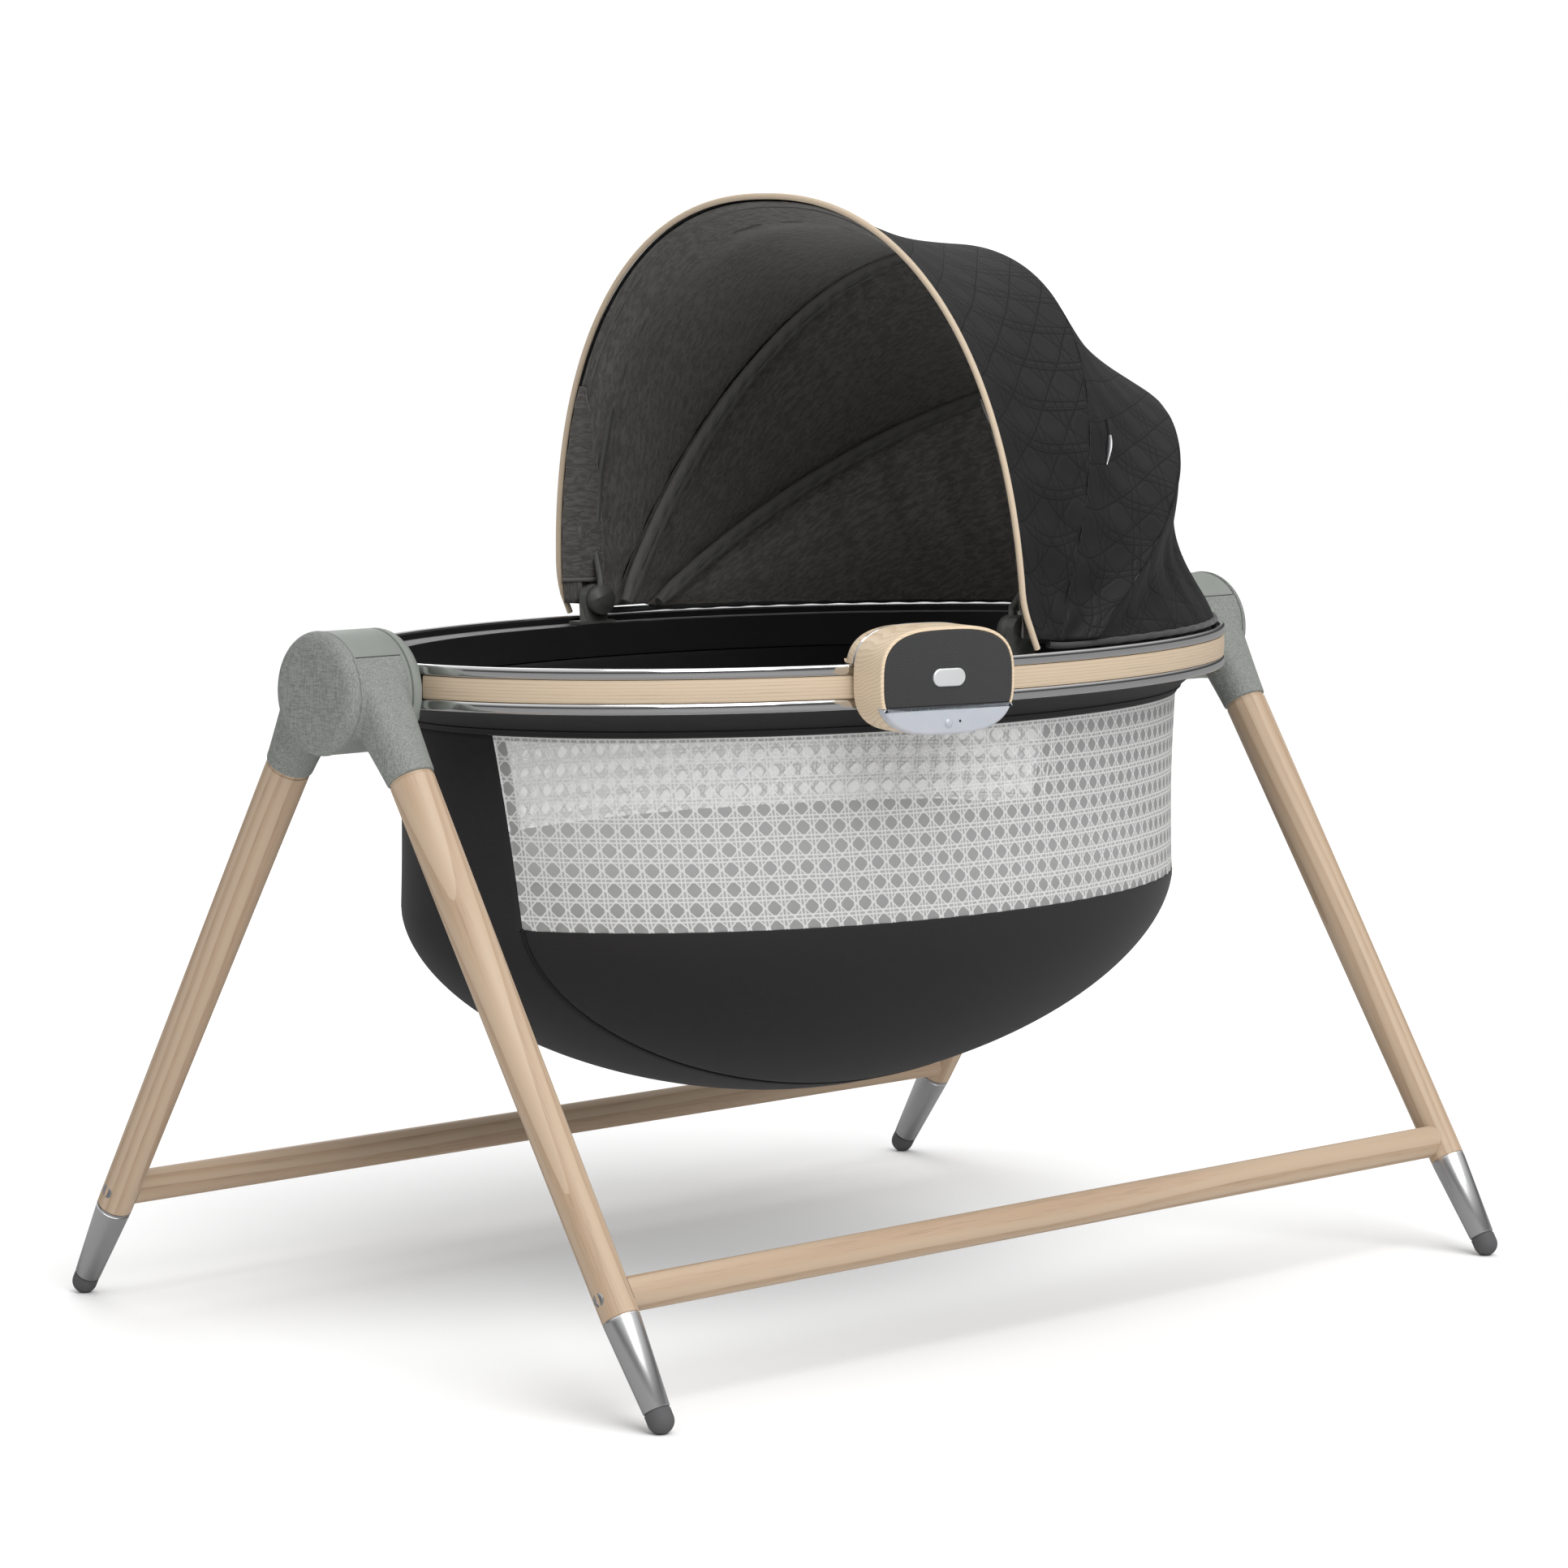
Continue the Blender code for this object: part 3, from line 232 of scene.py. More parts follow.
def wood_grain():
    """Ash: long stretched noise bends a set of rings, whose pores draw fine dark dashes."""
    t, given, result = group("wood_grain", [("Vector", "v", None), ("Rings", "f", 95.0)],
                             [("Figure", "f"), ("Pores", "f"), ("Cloud", "f")])
    long_way = t.mapping(given["Vector"], scale=(1, 1, 0.10))
    drift = t.noise(long_way, 9.0, 2.0, 0.5)
    wander = t.noise(t.mapping(given["Vector"], scale=(1, 1, 0.04)), 30.0, 3.0, 0.55)
    x, y, _ = t.add("ShaderNodeSeparateXYZ", {0: long_way}).outputs
    off_x = t.math("ADD", x, t.math("MULTIPLY", drift, 0.09))
    off_y = t.math("ADD", y, 0.035)
    radius = t.math("SQRT", t.math("ADD", t.math("MULTIPLY", off_x, off_x),
                                   t.math("MULTIPLY", off_y, off_y)))
    rings = t.math("MULTIPLY", t.math("ADD", radius, t.math("MULTIPLY", wander, 0.006)),
                   given["Rings"])
    early = t.math("FRACT", rings)
    t.tree.links.new(t.smooth_step(early, 0.25, 1.0), result["Figure"])
    dashes = t.noise(t.mapping(given["Vector"], scale=(1, 1, 0.018)), 900.0, 2.0, 0.6)
    in_ring = t.smooth_step(early, 0.35, 0.95)
    pores = t.math("MULTIPLY", t.smooth_step(dashes, 0.52, 0.68), in_ring)
    t.tree.links.new(pores, result["Pores"])
    t.tree.links.new(t.noise(given["Vector"], 5.0, 3.0, 0.5), result["Cloud"])
    return t.tree


def plain_weave():
    """Crossing threads: one set of waves along each direction, each on top by turns."""
    t, given, result = group("plain_weave", [("Vector", "v", None), ("Pitch", "f", 0.0008)],
                             [("Height", "f"), ("Fleck", "f")])
    turns = t.vector_math("DIVIDE", given["Vector"],
                          t.add("ShaderNodeCombineXYZ",
                                {0: given["Pitch"], 1: given["Pitch"],
                                 2: given["Pitch"]}).outputs[0])
    x, y, z = t.add("ShaderNodeSeparateXYZ", {0: turns}).outputs
    across = t.math("SINE", t.math("MULTIPLY", t.math("ADD", x, y), pi))
    along = t.math("SINE", t.math("MULTIPLY", t.math("ADD", z, t.math("MULTIPLY", x, 0.5)), pi))
    t.tree.links.new(t.math("MULTIPLY_ADD", t.math("MULTIPLY", across, along), 0.5, 0.5),
                     result["Height"])
    t.tree.links.new(t.noise(t.mapping(turns, scale=(0.4, 0.4, 0.9)), 1.0, 2.0, 0.6),
                     result["Fleck"])
    return t.tree


def cane_pattern():
    """Cane webbing on a square grid: pairs of threads on the cell edges, and diagonals that
    make a diamond round each cell's middle, which leaves the open holes."""
    t, given, result = group("cane_pattern", [("Vector", "v", None), ("Pitch", "f", 0.0183),
                                              ("Thread", "f", 0.036)],
                             [("Threads", "f"), ("Hole", "f")])
    x, y, _ = t.add("ShaderNodeSeparateXYZ", {0: given["Vector"]}).outputs
    from_middle = [t.math("ABSOLUTE", t.math("SUBTRACT", t.math("FRACT", t.math("DIVIDE", w,
                   given["Pitch"])), 0.5)) for w in (x, y)]
    soft = t.math("MULTIPLY", given["Thread"], 1.7)
    threads = None
    diamond = t.math("MULTIPLY", t.math("ABSOLUTE", t.math("SUBTRACT", t.math(
        "ADD", *from_middle), 0.5)), sqrt(0.5))
    for line in [t.math("ABSOLUTE", t.math("SUBTRACT", w, 0.40)) for w in from_middle] + [diamond]:
        mask = t.add("ShaderNodeMapRange", {"Value": line, "From Min": given["Thread"],
                                            "From Max": soft, "To Min": 1.0, "To Max": 0.0},
                     interpolation_type="SMOOTHSTEP").outputs[0]
        threads = mask if threads is None else t.math("MAXIMUM", threads, mask)
    t.tree.links.new(threads, result["Threads"])
    reach = t.math("MAXIMUM", t.math("DIVIDE", t.math("ADD", *from_middle), 0.43),
                   t.math("DIVIDE", t.math("MAXIMUM", *from_middle), 0.34))
    t.tree.links.new(t.smooth_step(reach, 1.05, 0.93), result["Hole"])
    return t.tree


def rubbed_surface():
    """Faint handling marks: broad clouds and fine scratches for a finish's roughness."""
    t, given, result = group("rubbed_surface", [("Vector", "v", None), ("Base", "f", 0.4),
                                                ("Amount", "f", 0.1)], [("Roughness", "f")])
    broad = t.noise(given["Vector"], 14.0, 3.0, 0.6)
    fine = t.noise(t.mapping(given["Vector"], scale=(1, 6, 1)), 260.0, 2.0, 0.6)
    both = t.math("SUBTRACT", t.math("ADD", broad, t.math("MULTIPLY", fine, 0.5)), 0.75)
    t.tree.links.new(t.math("MULTIPLY_ADD", both, given["Amount"], given["Base"], clamp=True),
                     result["Roughness"])
    return t.tree


GRAIN = wood_grain()
WEAVE = plain_weave()
CANE = cane_pattern()
RUBBED = rubbed_surface()


def finish(name, roughness=0.5, metallic=0.0, colour=(0.5, 0.5, 0.5), **fixed):
    """A Principled material; returns the material, its tree and the shader's inputs."""
    made = bpy.data.materials.new(name)
    made.use_nodes = True
    shader = made.node_tree.nodes["Principled BSDF"]
    shader.inputs["Base Color"].default_value = (*colour, 1.0)
    shader.inputs["Roughness"].default_value = roughness
    shader.inputs["Metallic"].default_value = metallic
    for key, value in fixed.items():
        shader.inputs[key.replace("_", " ")].default_value = value
    return made, Tree(made.node_tree), shader.inputs


def place_of(t):
    return t.add("ShaderNodeTexCoord").outputs["Object"]


def uv_of(t):
    return t.add("ShaderNodeUVMap", uv_map="cloth").outputs[0]


def bump(t, height, distance, strength=1.0, normal=None):
    inputs = {"Height": height, "Distance": distance, "Strength": strength}
    if normal:
        inputs["Normal"] = normal
    return t.add("ShaderNodeBump", inputs).outputs[0]


def wood(name, turn, light, dark, rings=95.0, shift=(0, 0, 0), on_uv=False, roughness=0.48):
    """Pale lacquered wood whose grain runs along local Z once the pattern is turned."""
    made, t, into = finish(name, roughness, Specular_IOR_Level=0.42)
    source = uv_of(t) if on_uv else place_of(t)
    where = t.mapping(source, turn=turn, shift=shift)
    grain = use_group(t, GRAIN, {"Vector": where, "Rings": rings})
    base = t.mix(grain["Figure"], light, dark)
    cloud = t.mix(t.math("MULTIPLY", grain["Cloud"], 0.35), base, tuple(c * 0.86 for c in light))
    lines = t.mix(t.math("MULTIPLY", grain["Pores"], 0.55), cloud, tuple(c * 0.62 for c in dark))
    t.tree.links.new(lines, into["Base Color"])
    t.tree.links.new(use_group(t, RUBBED, {"Vector": where, "Base": roughness, "Amount": 0.12})[0],
                     into["Roughness"])
    height = t.math("SUBTRACT", t.math("MULTIPLY", grain["Figure"], 0.25), grain["Pores"])
    t.tree.links.new(bump(t, height, 0.00012, 0.5), into["Normal"])
    return made


def metal(name, colour, roughness, amount=0.05):
    made, t, into = finish(name, roughness, 1.0, colour)
    rubbed = use_group(t, RUBBED, {"Vector": place_of(t), "Base": roughness, "Amount": amount})
    t.tree.links.new(rubbed[0], into["Roughness"])
    return made


def moulded(name, colour, roughness=0.5, grain_size=2600.0, depth=0.00004):
    """Moulded plastic or rubber with a fine spark-eroded grain."""
    made, t, into = finish(name, roughness)
    where = place_of(t)
    grain = t.noise(where, grain_size, 2.0, 0.6)
    shade = t.mix(t.noise(where, 30.0, 3.0, 0.6), tuple(c * 0.9 for c in colour),
                  tuple(min(1.0, c * 1.08) for c in colour))
    t.tree.links.new(shade, into["Base Color"])
    t.tree.links.new(use_group(t, RUBBED, {"Vector": where, "Base": roughness, "Amount": 0.15})[0],
                     into["Roughness"])
    t.tree.links.new(bump(t, grain, depth, 0.6), into["Normal"])
    return made


def woven_plastic(name, light, dark, pitch=0.0008, turn=(0, 0, 0)):
    """Moulding with a heathered cloth texture: streaky threads that cross at right angles."""
    made, t, into = finish(name, 0.72)
    where = t.mapping(place_of(t), turn=turn)
    streak_a = t.noise(t.mapping(where, scale=(1, 0.10, 1)), 1 / pitch, 2.0, 0.6)
    streak_b = t.noise(t.mapping(where, scale=(1, 1, 0.10)), 1 / pitch, 2.0, 0.6)
    both = t.math("MULTIPLY", t.math("ADD", streak_a, streak_b), 0.5)
    t.tree.links.new(t.mix(t.smooth_step(both, 0.40, 0.60), dark, light), into["Base Color"])
    t.tree.links.new(bump(t, both, 0.0006, 0.8), into["Normal"])
    return made


def knit(name, colour, roughness=0.88, pitch=0.0011, depth=0.00010, sheen=0.25):
    """Smooth stretch knit: a very fine rib, a soft sheen and slight shade changes."""
    made, t, into = finish(name, roughness, Sheen_Weight=sheen, Sheen_Roughness=0.45)
    where = place_of(t)
    weave = use_group(t, WEAVE, {"Vector": where, "Pitch": pitch})
    shade = t.mix(t.noise(where, 9.0, 3.0, 0.6), tuple(c * 0.90 for c in colour),
                  tuple(min(1.0, c * 1.10) for c in colour))
    fleck = t.mix(t.math("MULTIPLY", weave["Fleck"], 0.35), shade, tuple(c * 0.75 for c in colour))
    t.tree.links.new(fleck, into["Base Color"])
    t.tree.links.new(bump(t, weave["Height"], depth, 0.6), into["Normal"])
    return made


def quilted_shell():
    """The canopy's outside: smooth dark cloth with a large cane figure pressed into it."""
    made, t, into = finish("quilted_shell", 0.58, Specular_IOR_Level=0.24, Sheen_Weight=0.02,
                           Sheen_Roughness=0.4)
    on_cloth = uv_of(t)
    bend = t.noise(on_cloth, 7.0, 2.0, 0.5)
    bent = t.vector_math("ADD", on_cloth, t.vector_math(
        "MULTIPLY", t.add("ShaderNodeCombineXYZ", {0: bend, 1: t.noise(t.mapping(
            on_cloth, shift=(3, 1, 0)), 6.0, 2.0, 0.5)}).outputs[0], (0.012, 0.012, 0)))
    cane = use_group(t, CANE, {"Vector": bent, "Pitch": 0.047, "Thread": 0.012})
    wide = use_group(t, CANE, {"Vector": bent, "Pitch": 0.047, "Thread": 0.055})
    weave = use_group(t, WEAVE, {"Vector": place_of(t), "Pitch": 0.0009})
    shade = t.mix(t.noise(on_cloth, 12.0, 3.0, 0.6), (0.0085, 0.0085, 0.0093),
                  (0.0125, 0.0125, 0.0135))
    lined = t.mix(t.math("MULTIPLY", cane["Threads"], 0.75), shade, (0.0030, 0.0030, 0.0033))
    t.tree.links.new(lined, into["Base Color"])
    t.tree.links.new(t.math("MULTIPLY_ADD", cane["Threads"], 0.15, 0.60), into["Roughness"])
    fine = bump(t, weave["Height"], 0.00006, 0.5)
    puff = t.math("SUBTRACT", 1.0, t.math("ADD", t.math("MULTIPLY", wide["Threads"], 0.55),
                                          t.math("MULTIPLY", cane["Threads"], 0.45)))
    t.tree.links.new(bump(t, puff, 0.0012, 0.5, fine), into["Normal"])
    return made


def crepe_lining(name, light):
    """The canopy's inside: crinkled crepe, ridges stretched across the arch, with painted shade in the
    crinkles' troughs.
    """
    made, t, into = finish(name, 0.85, Sheen_Weight=0.35, Sheen_Roughness=0.5)
    on_cloth = uv_of(t)
    waves = t.noise(t.mapping(on_cloth, scale=(0.42, 1.35, 1)), 190.0, 3.0, 0.62, 0.8)
    fine = t.noise(on_cloth, 1500.0, 2.0, 0.6)
    # Painted shade: the colour darkens where the crinkle height is low.
    shade = t.mix(t.smooth_step(waves, 0.40, 0.62), tuple(c * 0.60 for c in light), light)
    t.tree.links.new(shade, into["Base Color"])
    height = t.math("ADD", waves, t.math("MULTIPLY", fine, 0.10))
    t.tree.links.new(bump(t, height, 0.0022, 0.85), into["Normal"])
    return made


def knitted_window():
    """White knitted net with the cane figure: close threads, half-open ground, open holes."""
    made, t, into = finish("knitted_window", 0.85, Sheen_Weight=0.2, Sheen_Roughness=0.5)
    on_cloth = uv_of(t)
    wobble = t.vector_math("MULTIPLY", t.add("ShaderNodeTexNoise", {
        "Vector": on_cloth, "Scale": 22.0, "Detail": 2.0}).outputs[1], (0.0016, 0.0016, 0))
    bent = t.vector_math("ADD", on_cloth, wobble)
    cane = use_group(t, CANE, {"Vector": bent, "Pitch": 0.0183, "Thread": 0.030})
    x, y, _ = t.add("ShaderNodeSeparateXYZ", {0: on_cloth}).outputs
    hatch = t.math("MULTIPLY_ADD", t.math("MULTIPLY", t.math("SINE", t.math("MULTIPLY", t.math(
        "ADD", x, y), 4200.0)),
        t.math("SINE", t.math("MULTIPLY", t.math("SUBTRACT", x, y), 4200.0))),
        0.5, 0.5)
    ground = t.math("SUBTRACT", 0.60, t.math("MULTIPLY", cane["Hole"], 0.13))
    open_net = t.math("ADD", ground, t.math("MULTIPLY", t.math("SUBTRACT", hatch, 0.5), 0.10))
    cover = t.math("MAXIMUM", open_net, t.math("MULTIPLY", cane["Threads"], 0.91))
    t.tree.links.new(cover, into["Alpha"])
    shade = t.mix(cane["Threads"], (0.545, 0.55, 0.545), (0.63, 0.635, 0.63))
    t.tree.links.new(shade, into["Base Color"])
    height = t.math("ADD", cane["Threads"], t.math("MULTIPLY", hatch, 0.15))
    t.tree.links.new(bump(t, height, 0.0004, 0.5), into["Normal"])
    made.use_backface_culling = False
    return made


def twill_grille():
    """Dark speaker cloth: fine diagonal ribs."""
    made, t, into = finish("twill_grille", 0.75, Sheen_Weight=0.15)
    x, _, z = t.add("ShaderNodeSeparateXYZ", {0: place_of(t)}).outputs
    ribs = t.math("MULTIPLY_ADD", t.math("SINE", t.math("MULTIPLY", t.math(
        "ADD", t.math("MULTIPLY", x, 1.25), z), 2 * pi / 0.0030)), 0.5, 0.5)
    t.tree.links.new(t.mix(ribs, (0.005, 0.005, 0.006), (0.050, 0.050, 0.052)), into["Base Color"])
    t.tree.links.new(bump(t, ribs, 0.00025, 0.8), into["Normal"])
    return made


def lit_diffuser():
    made, t, into = finish("lit_diffuser", 0.32, colour=(0.50, 0.52, 0.57), Subsurface_Weight=0.25,
                           Subsurface_Scale=0.01, Emission_Strength=0.03)
    glow = t.mix(t.noise(place_of(t), 40.0, 2.0, 0.5), (0.66, 0.70, 0.84), (0.82, 0.85, 0.95))
    t.tree.links.new(glow, into["Emission Color"])
    t.tree.links.new(t.mix(t.noise(place_of(t), 60.0, 2.0, 0.5), (0.40, 0.42, 0.46),
                           (0.45, 0.47, 0.51)), into["Base Color"])
    return made


def soft_cover(name, colour, pitch=0.0022):
    """Mattress cover: brushed knit with a fine weave and slight tone changes."""
    made, t, into = finish(name, 0.95, Specular_IOR_Level=0.1)
    where = place_of(t)
    weave = use_group(t, WEAVE, {"Vector": where, "Pitch": pitch})
    shade = t.mix(t.noise(where, 6.0, 3.0, 0.6), tuple(c * 0.93 for c in colour), colour)
    t.tree.links.new(shade, into["Base Color"])
    t.tree.links.new(bump(t, weave["Height"], 0.00025, 0.6), into["Normal"])
    return made


LEG_TURN = atan(LEG_SLOPE)
ASH_LIGHT = (0.505, 0.382, 0.272)
ASH_DARK = (0.420, 0.292, 0.192)
ASH = {-1: wood("ash_leg_front", (LEG_TURN, 0, 0), ASH_LIGHT, ASH_DARK),
       1: wood("ash_leg_rear", (-LEG_TURN, 0, 0), ASH_LIGHT, ASH_DARK, shift=(0.3, 0.1, 0))}
ASH_RAIL = wood("ash_rail", (0, pi / 2, 0), ASH_LIGHT, ASH_DARK, rings=120.0,
                shift=(0.004, 0.02, 0.2))
VENEER = wood("rim_veneer", (0, pi / 2, 0), (0.575, 0.460, 0.335), (0.510, 0.395, 0.275),
              rings=330.0,
              shift=(0, 0.02, 0), on_uv=True)
UNIT_WOOD = wood("unit_wood", (0, pi / 2, 0.4), (0.730, 0.590, 0.425), (0.630, 0.490, 0.340),
                 rings=260.0, shift=(0.02, 0.31, 0.0))
CHROME = metal("chrome", (0.78, 0.78, 0.79), 0.09)
DARK_CHROME = metal("dark_chrome", (0.86, 0.86, 0.87), 0.26)
ZINC = metal("zinc", (0.60, 0.61, 0.63), 0.30, 0.12)
SATIN_PLATE, _, _ = finish("satin_plate", 0.36, 0.55, (0.86, 0.87, 0.88))
PULL_STEEL = metal("pull_steel", (0.36, 0.36, 0.37), 0.34)
RUBBER = moulded("foot_rubber", (0.085, 0.085, 0.088), 0.75, 900.0, 0.0001)
HUB_SMOOTH = moulded("hub_smooth", (0.225, 0.243, 0.221), 0.55)
HUB_WOVEN = woven_plastic("hub_woven", (0.272, 0.285, 0.265), (0.156, 0.167, 0.155))
FRAME_BLACK = moulded("frame_black", (0.009, 0.009, 0.010), 0.45)
BOW_GREY = moulded("bow_grey", (0.085, 0.088, 0.080), 0.50)
COVER_KNIT = knit("cover_knit", (0.0125, 0.0112, 0.0126), sheen=0.08)
LINER_KNIT = knit("liner_knit", (0.006, 0.0055, 0.006), sheen=0.05)
SHELL = quilted_shell()
LINING = crepe_lining("crepe_lining", (0.120, 0.113, 0.103))
# Painted light: a lighter copy of the crepe lining for the rear panel's inside, standing in for the stronger
# light falling there.
REAR_LINING_LIT = crepe_lining("crepe_lining_rear_lit", (0.190, 0.180, 0.165))
SLEEVE = knit("sleeve_cloth", (0.120, 0.117, 0.109), 0.80, 0.0009, 0.00008)
PIPING = knit("piping_cord", (0.585, 0.470, 0.345), 0.62, 0.0013, 0.00010, 0.15)
NET = knitted_window()
GRILLE = twill_grille()
DIFFUSER = lit_diffuser()
LENS, _, _ = finish("sensor_lens", 0.15, colour=(0.42, 0.44, 0.48), Coat_Weight=0.6)
BED_COVER = soft_cover("bed_cover", (0.20, 0.20, 0.20))
BED_TAPE = knit("bed_tape", (0.15, 0.15, 0.15), 0.85, 0.0013, 0.0001)
SEAM_TAPE = knit("seam_tape", (0.075, 0.073, 0.074), 0.85)
BOARD = moulded("board", (0.22, 0.17, 0.12), 0.7)


# ---------------------------------------------------------------- mesh building
def grid_faces(rows, columns, wrap_rows, wrap_columns):
    r, c = np.meshgrid(np.arange(rows if wrap_rows else rows - 1),
                       np.arange(columns if wrap_columns else columns - 1), indexing="ij")
    r1, c1 = (r + 1) % rows, (c + 1) % columns
    return np.stack([r * columns + c, r * columns + c1, r1 * columns + c1, r1 * columns + c],
                    -1).reshape(-1, 4)


def grid_mesh(name, points, wrap_rows=False, wrap_columns=False, uv=None, caps=False, flip=False):
    """A mesh over a grid of points (rows, columns, 3).  uv is a grid too; caps closes the first
    and last row; coincident points, as at a pole, are merged."""
    rows, columns = points.shape[:2]
    faces = grid_faces(rows, columns, wrap_rows, wrap_columns)
    if flip:
        faces = faces[:, ::-1]
    whole = faces.tolist()
    if caps:
        ends = [list(range(columns))[::-1], list(range((rows - 1) * columns, rows * columns))]
        whole += [end[::-1] if flip else end for end in ends]
    data = bpy.data.meshes.new(name)
    data.from_pydata(points.reshape(-1, 3).tolist(), [], whole)
    if uv is not None:
        layer = data.uv_layers.new(name="cloth")
        corners = np.zeros((len(data.loops), 2), np.float32)
        corners[:len(faces) * 4] = uv.reshape(-1, 2)[faces.reshape(-1)]
        layer.data.foreach_set("uv", corners.ravel())
    shape = bmesh.new()
    shape.from_mesh(data)
    bmesh.ops.remove_doubles(shape, verts=shape.verts, dist=0.000002)
    shape.to_mesh(data)
    shape.free()
    return data


def show(name, data, material, body, replaced=(), angle=40, thickness=0.0):
    """Puts a finished mesh in the scene, riding on its body."""
    data.materials.clear()
    data.materials.append(material)
    data.shade_smooth()
    data.set_sharp_from_angle(angle=radians(angle))
    piece = bpy.data.objects.new(name, data)
    bpy.context.scene.collection.objects.link(piece)
    if thickness:
        wall = piece.modifiers.new("thickness", "SOLIDIFY")
        wall.thickness = thickness
        wall.offset = -1.0
    if body:
        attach(piece, body)
    if replaced:
        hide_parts(*replaced)
    return piece


def joined(name, meshes):
    """One mesh out of several."""
    shape = bmesh.new()
    for data in meshes:
        shape.from_mesh(data)
    data = bpy.data.meshes.new(name)
    shape.to_mesh(data)
    shape.free()
    return data


def evaluated(name, data, *steps):
    """The mesh after modifiers, each given as (kind, settings)."""
    holder = bpy.data.objects.new(name, data)
    bpy.context.scene.collection.objects.link(holder)
    for kind, settings in steps:
        step = holder.modifiers.new(kind, kind)
        for key, value in settings.items():
            setattr(step, key, value)
    bpy.context.view_layer.update()
    shown = holder.evaluated_get(bpy.context.evaluated_depsgraph_get())
    result = bpy.data.meshes.new_from_object(shown)
    bpy.data.objects.remove(holder)
    return result


def welded(node):
    """A copy of a CAD node's mesh with its loose triangles joined."""
    data = frame["nodes"][node].data.copy()
    shape = bmesh.new()
    shape.from_mesh(data)
    bmesh.ops.remove_doubles(shape, verts=shape.verts, dist=0.00001)
    shape.to_mesh(data)
    shape.free()
    return data


def turned(profile, place, sides=96):
    """A turned solid: (radius, height) pairs from the axis round the outside and back to it,
    each carried round a circle; place puts local Z on the real axis."""
    radius, height = np.array(profile, float).T
    angle = np.linspace(0, 2 * pi, sides, endpoint=False)
    local = np.stack([radius[:, None] * np.cos(angle), radius[:, None] * np.sin(angle),
                      np.broadcast_to(height[:, None], (len(radius), sides))], -1)
    turn = np.array(place.to_3x3())
    closed = profile[0][0] > 0
    points = local @ turn.T + np.array(place.translation)
    return grid_mesh("turned", points, wrap_rows=closed, wrap_columns=True)


def along(start, end):
    start, end = Vector(start), Vector(end)
    turn = (end - start).to_track_quat("Z", "Y").to_matrix().to_4x4()
    return Matrix.Translation(start) @ turn


def outward(side, height=AXIS_Z):
    return Matrix.Translation((0, 0, height)) @ Matrix.Rotation(side * pi / 2, 4, "Y")


def rounded(corners, radius, steps=4):
    """A closed outline's corners, each replaced by a short quadratic curve."""
    corners = np.array(corners, float)
    before, after = np.roll(corners, 1, 0), np.roll(corners, -1, 0)
    result = []
    for p, q, r in zip(before, corners, after):
        a = q + (p - q) * min(0.45, radius / max(np.linalg.norm(p - q), 1e-9))
        b = q + (r - q) * min(0.45, radius / max(np.linalg.norm(r - q), 1e-9))
        for s in np.linspace(0, 1, steps):
            result.append((1 - s) ** 2 * a + 2 * s * (1 - s) * q + s * s * b)
    return np.array(result)


def rim_sweep(outline, start=0.0, end=2 * pi, count=320):
    """An outline of (outwards, height) carried round the rim's ellipse, square to it."""
    whole = end - start > 2 * pi - 0.001
    theta = np.linspace(start, end, count, endpoint=not whole)
    base = np.stack([RIM_A * np.cos(theta), RIM_B * np.sin(theta)], -1)
    normal = np.stack([np.cos(theta) / RIM_A, np.sin(theta) / RIM_B], -1)
    normal /= np.linalg.norm(normal, axis=1, keepdims=True)
    step = np.linalg.norm(np.diff(base, axis=0, append=base[:1]), axis=1)
    length = np.concatenate([[0], np.cumsum(step)[:-1]])
    out, height = np.array(outline).T
    flat = base[:, None, :] + normal[:, None, :] * out[None, :, None]
    points = np.concatenate([flat, np.broadcast_to(height[None, :, None], flat.shape[:2] + (1,))],
                            -1)
    uv = np.stack(np.broadcast_arrays(length[:, None], height[None, :]), -1)
    return grid_mesh("rim_sweep", points, wrap_rows=whole, wrap_columns=True, uv=uv, caps=not whole)


def tube(route, radius, sides=16, closed=False, flat=1.0, twist=None):
    """A round or flattened tube along a route: circles square to its tangent, whose side
    direction comes from a fixed guide so that the tube never twists."""
    route = np.array(route, float)
    ahead = np.roll(route, -1, 0) - np.roll(route, 1, 0)
    if not closed:
        ahead[0], ahead[-1] = route[1] - route[0], route[-1] - route[-2]
    ahead /= np.linalg.norm(ahead, axis=1, keepdims=True)
    guide = np.array([0.0, 0.0, 1.0]) if twist is None else np.array(twist, float)
    side = np.cross(ahead, guide)
    side /= np.linalg.norm(side, axis=1, keepdims=True)
    up = np.cross(side, ahead)
    angle = np.linspace(0, 2 * pi, sides, endpoint=False)
    radius = np.broadcast_to(radius, (len(route),))
    points = (route[:, None] + side[:,
                                    None] * (np.cos(angle)[None, :, None] * radius[:, None, None])
              + up[:, None] * (np.sin(angle)[None, :, None] * radius[:, None, None] * flat))
    return grid_mesh("tube", points, wrap_rows=closed, wrap_columns=True, caps=not closed)


# ---------------------------------------------------------------- stand
def leg_point(side, front, height):
    return Vector((side * -LEG_X, front * (FOOT_Y - LEG_SLOPE * (height - FOOT_Z)), height))


def leg_radius(height):
    share = (height - FERRULE_TOP_Z) / (LEG_TOP_Z - FERRULE_TOP_Z)
    return LEG_LOW_RADIUS + (LEG_TOP_RADIUS - LEG_LOW_RADIUS) * share


def rod_between(low, high, profile):
    """A turned rod: (share of the length, radius) pairs, closed on its axis at both ends."""
    length = (high - low).length
    inner = [(radius, share * length) for share, radius in profile]
    return turned([(0, inner[0][1])] + inner + [(0, inner[-1][1])], along(low, high), 64)


def flipped(data):
    """Faces turned to point outwards."""
    shape = bmesh.new()
    shape.from_mesh(data)
    bmesh.ops.recalc_face_normals(shape, faces=shape.faces)
    shape.to_mesh(data)
    shape.free()
    return data


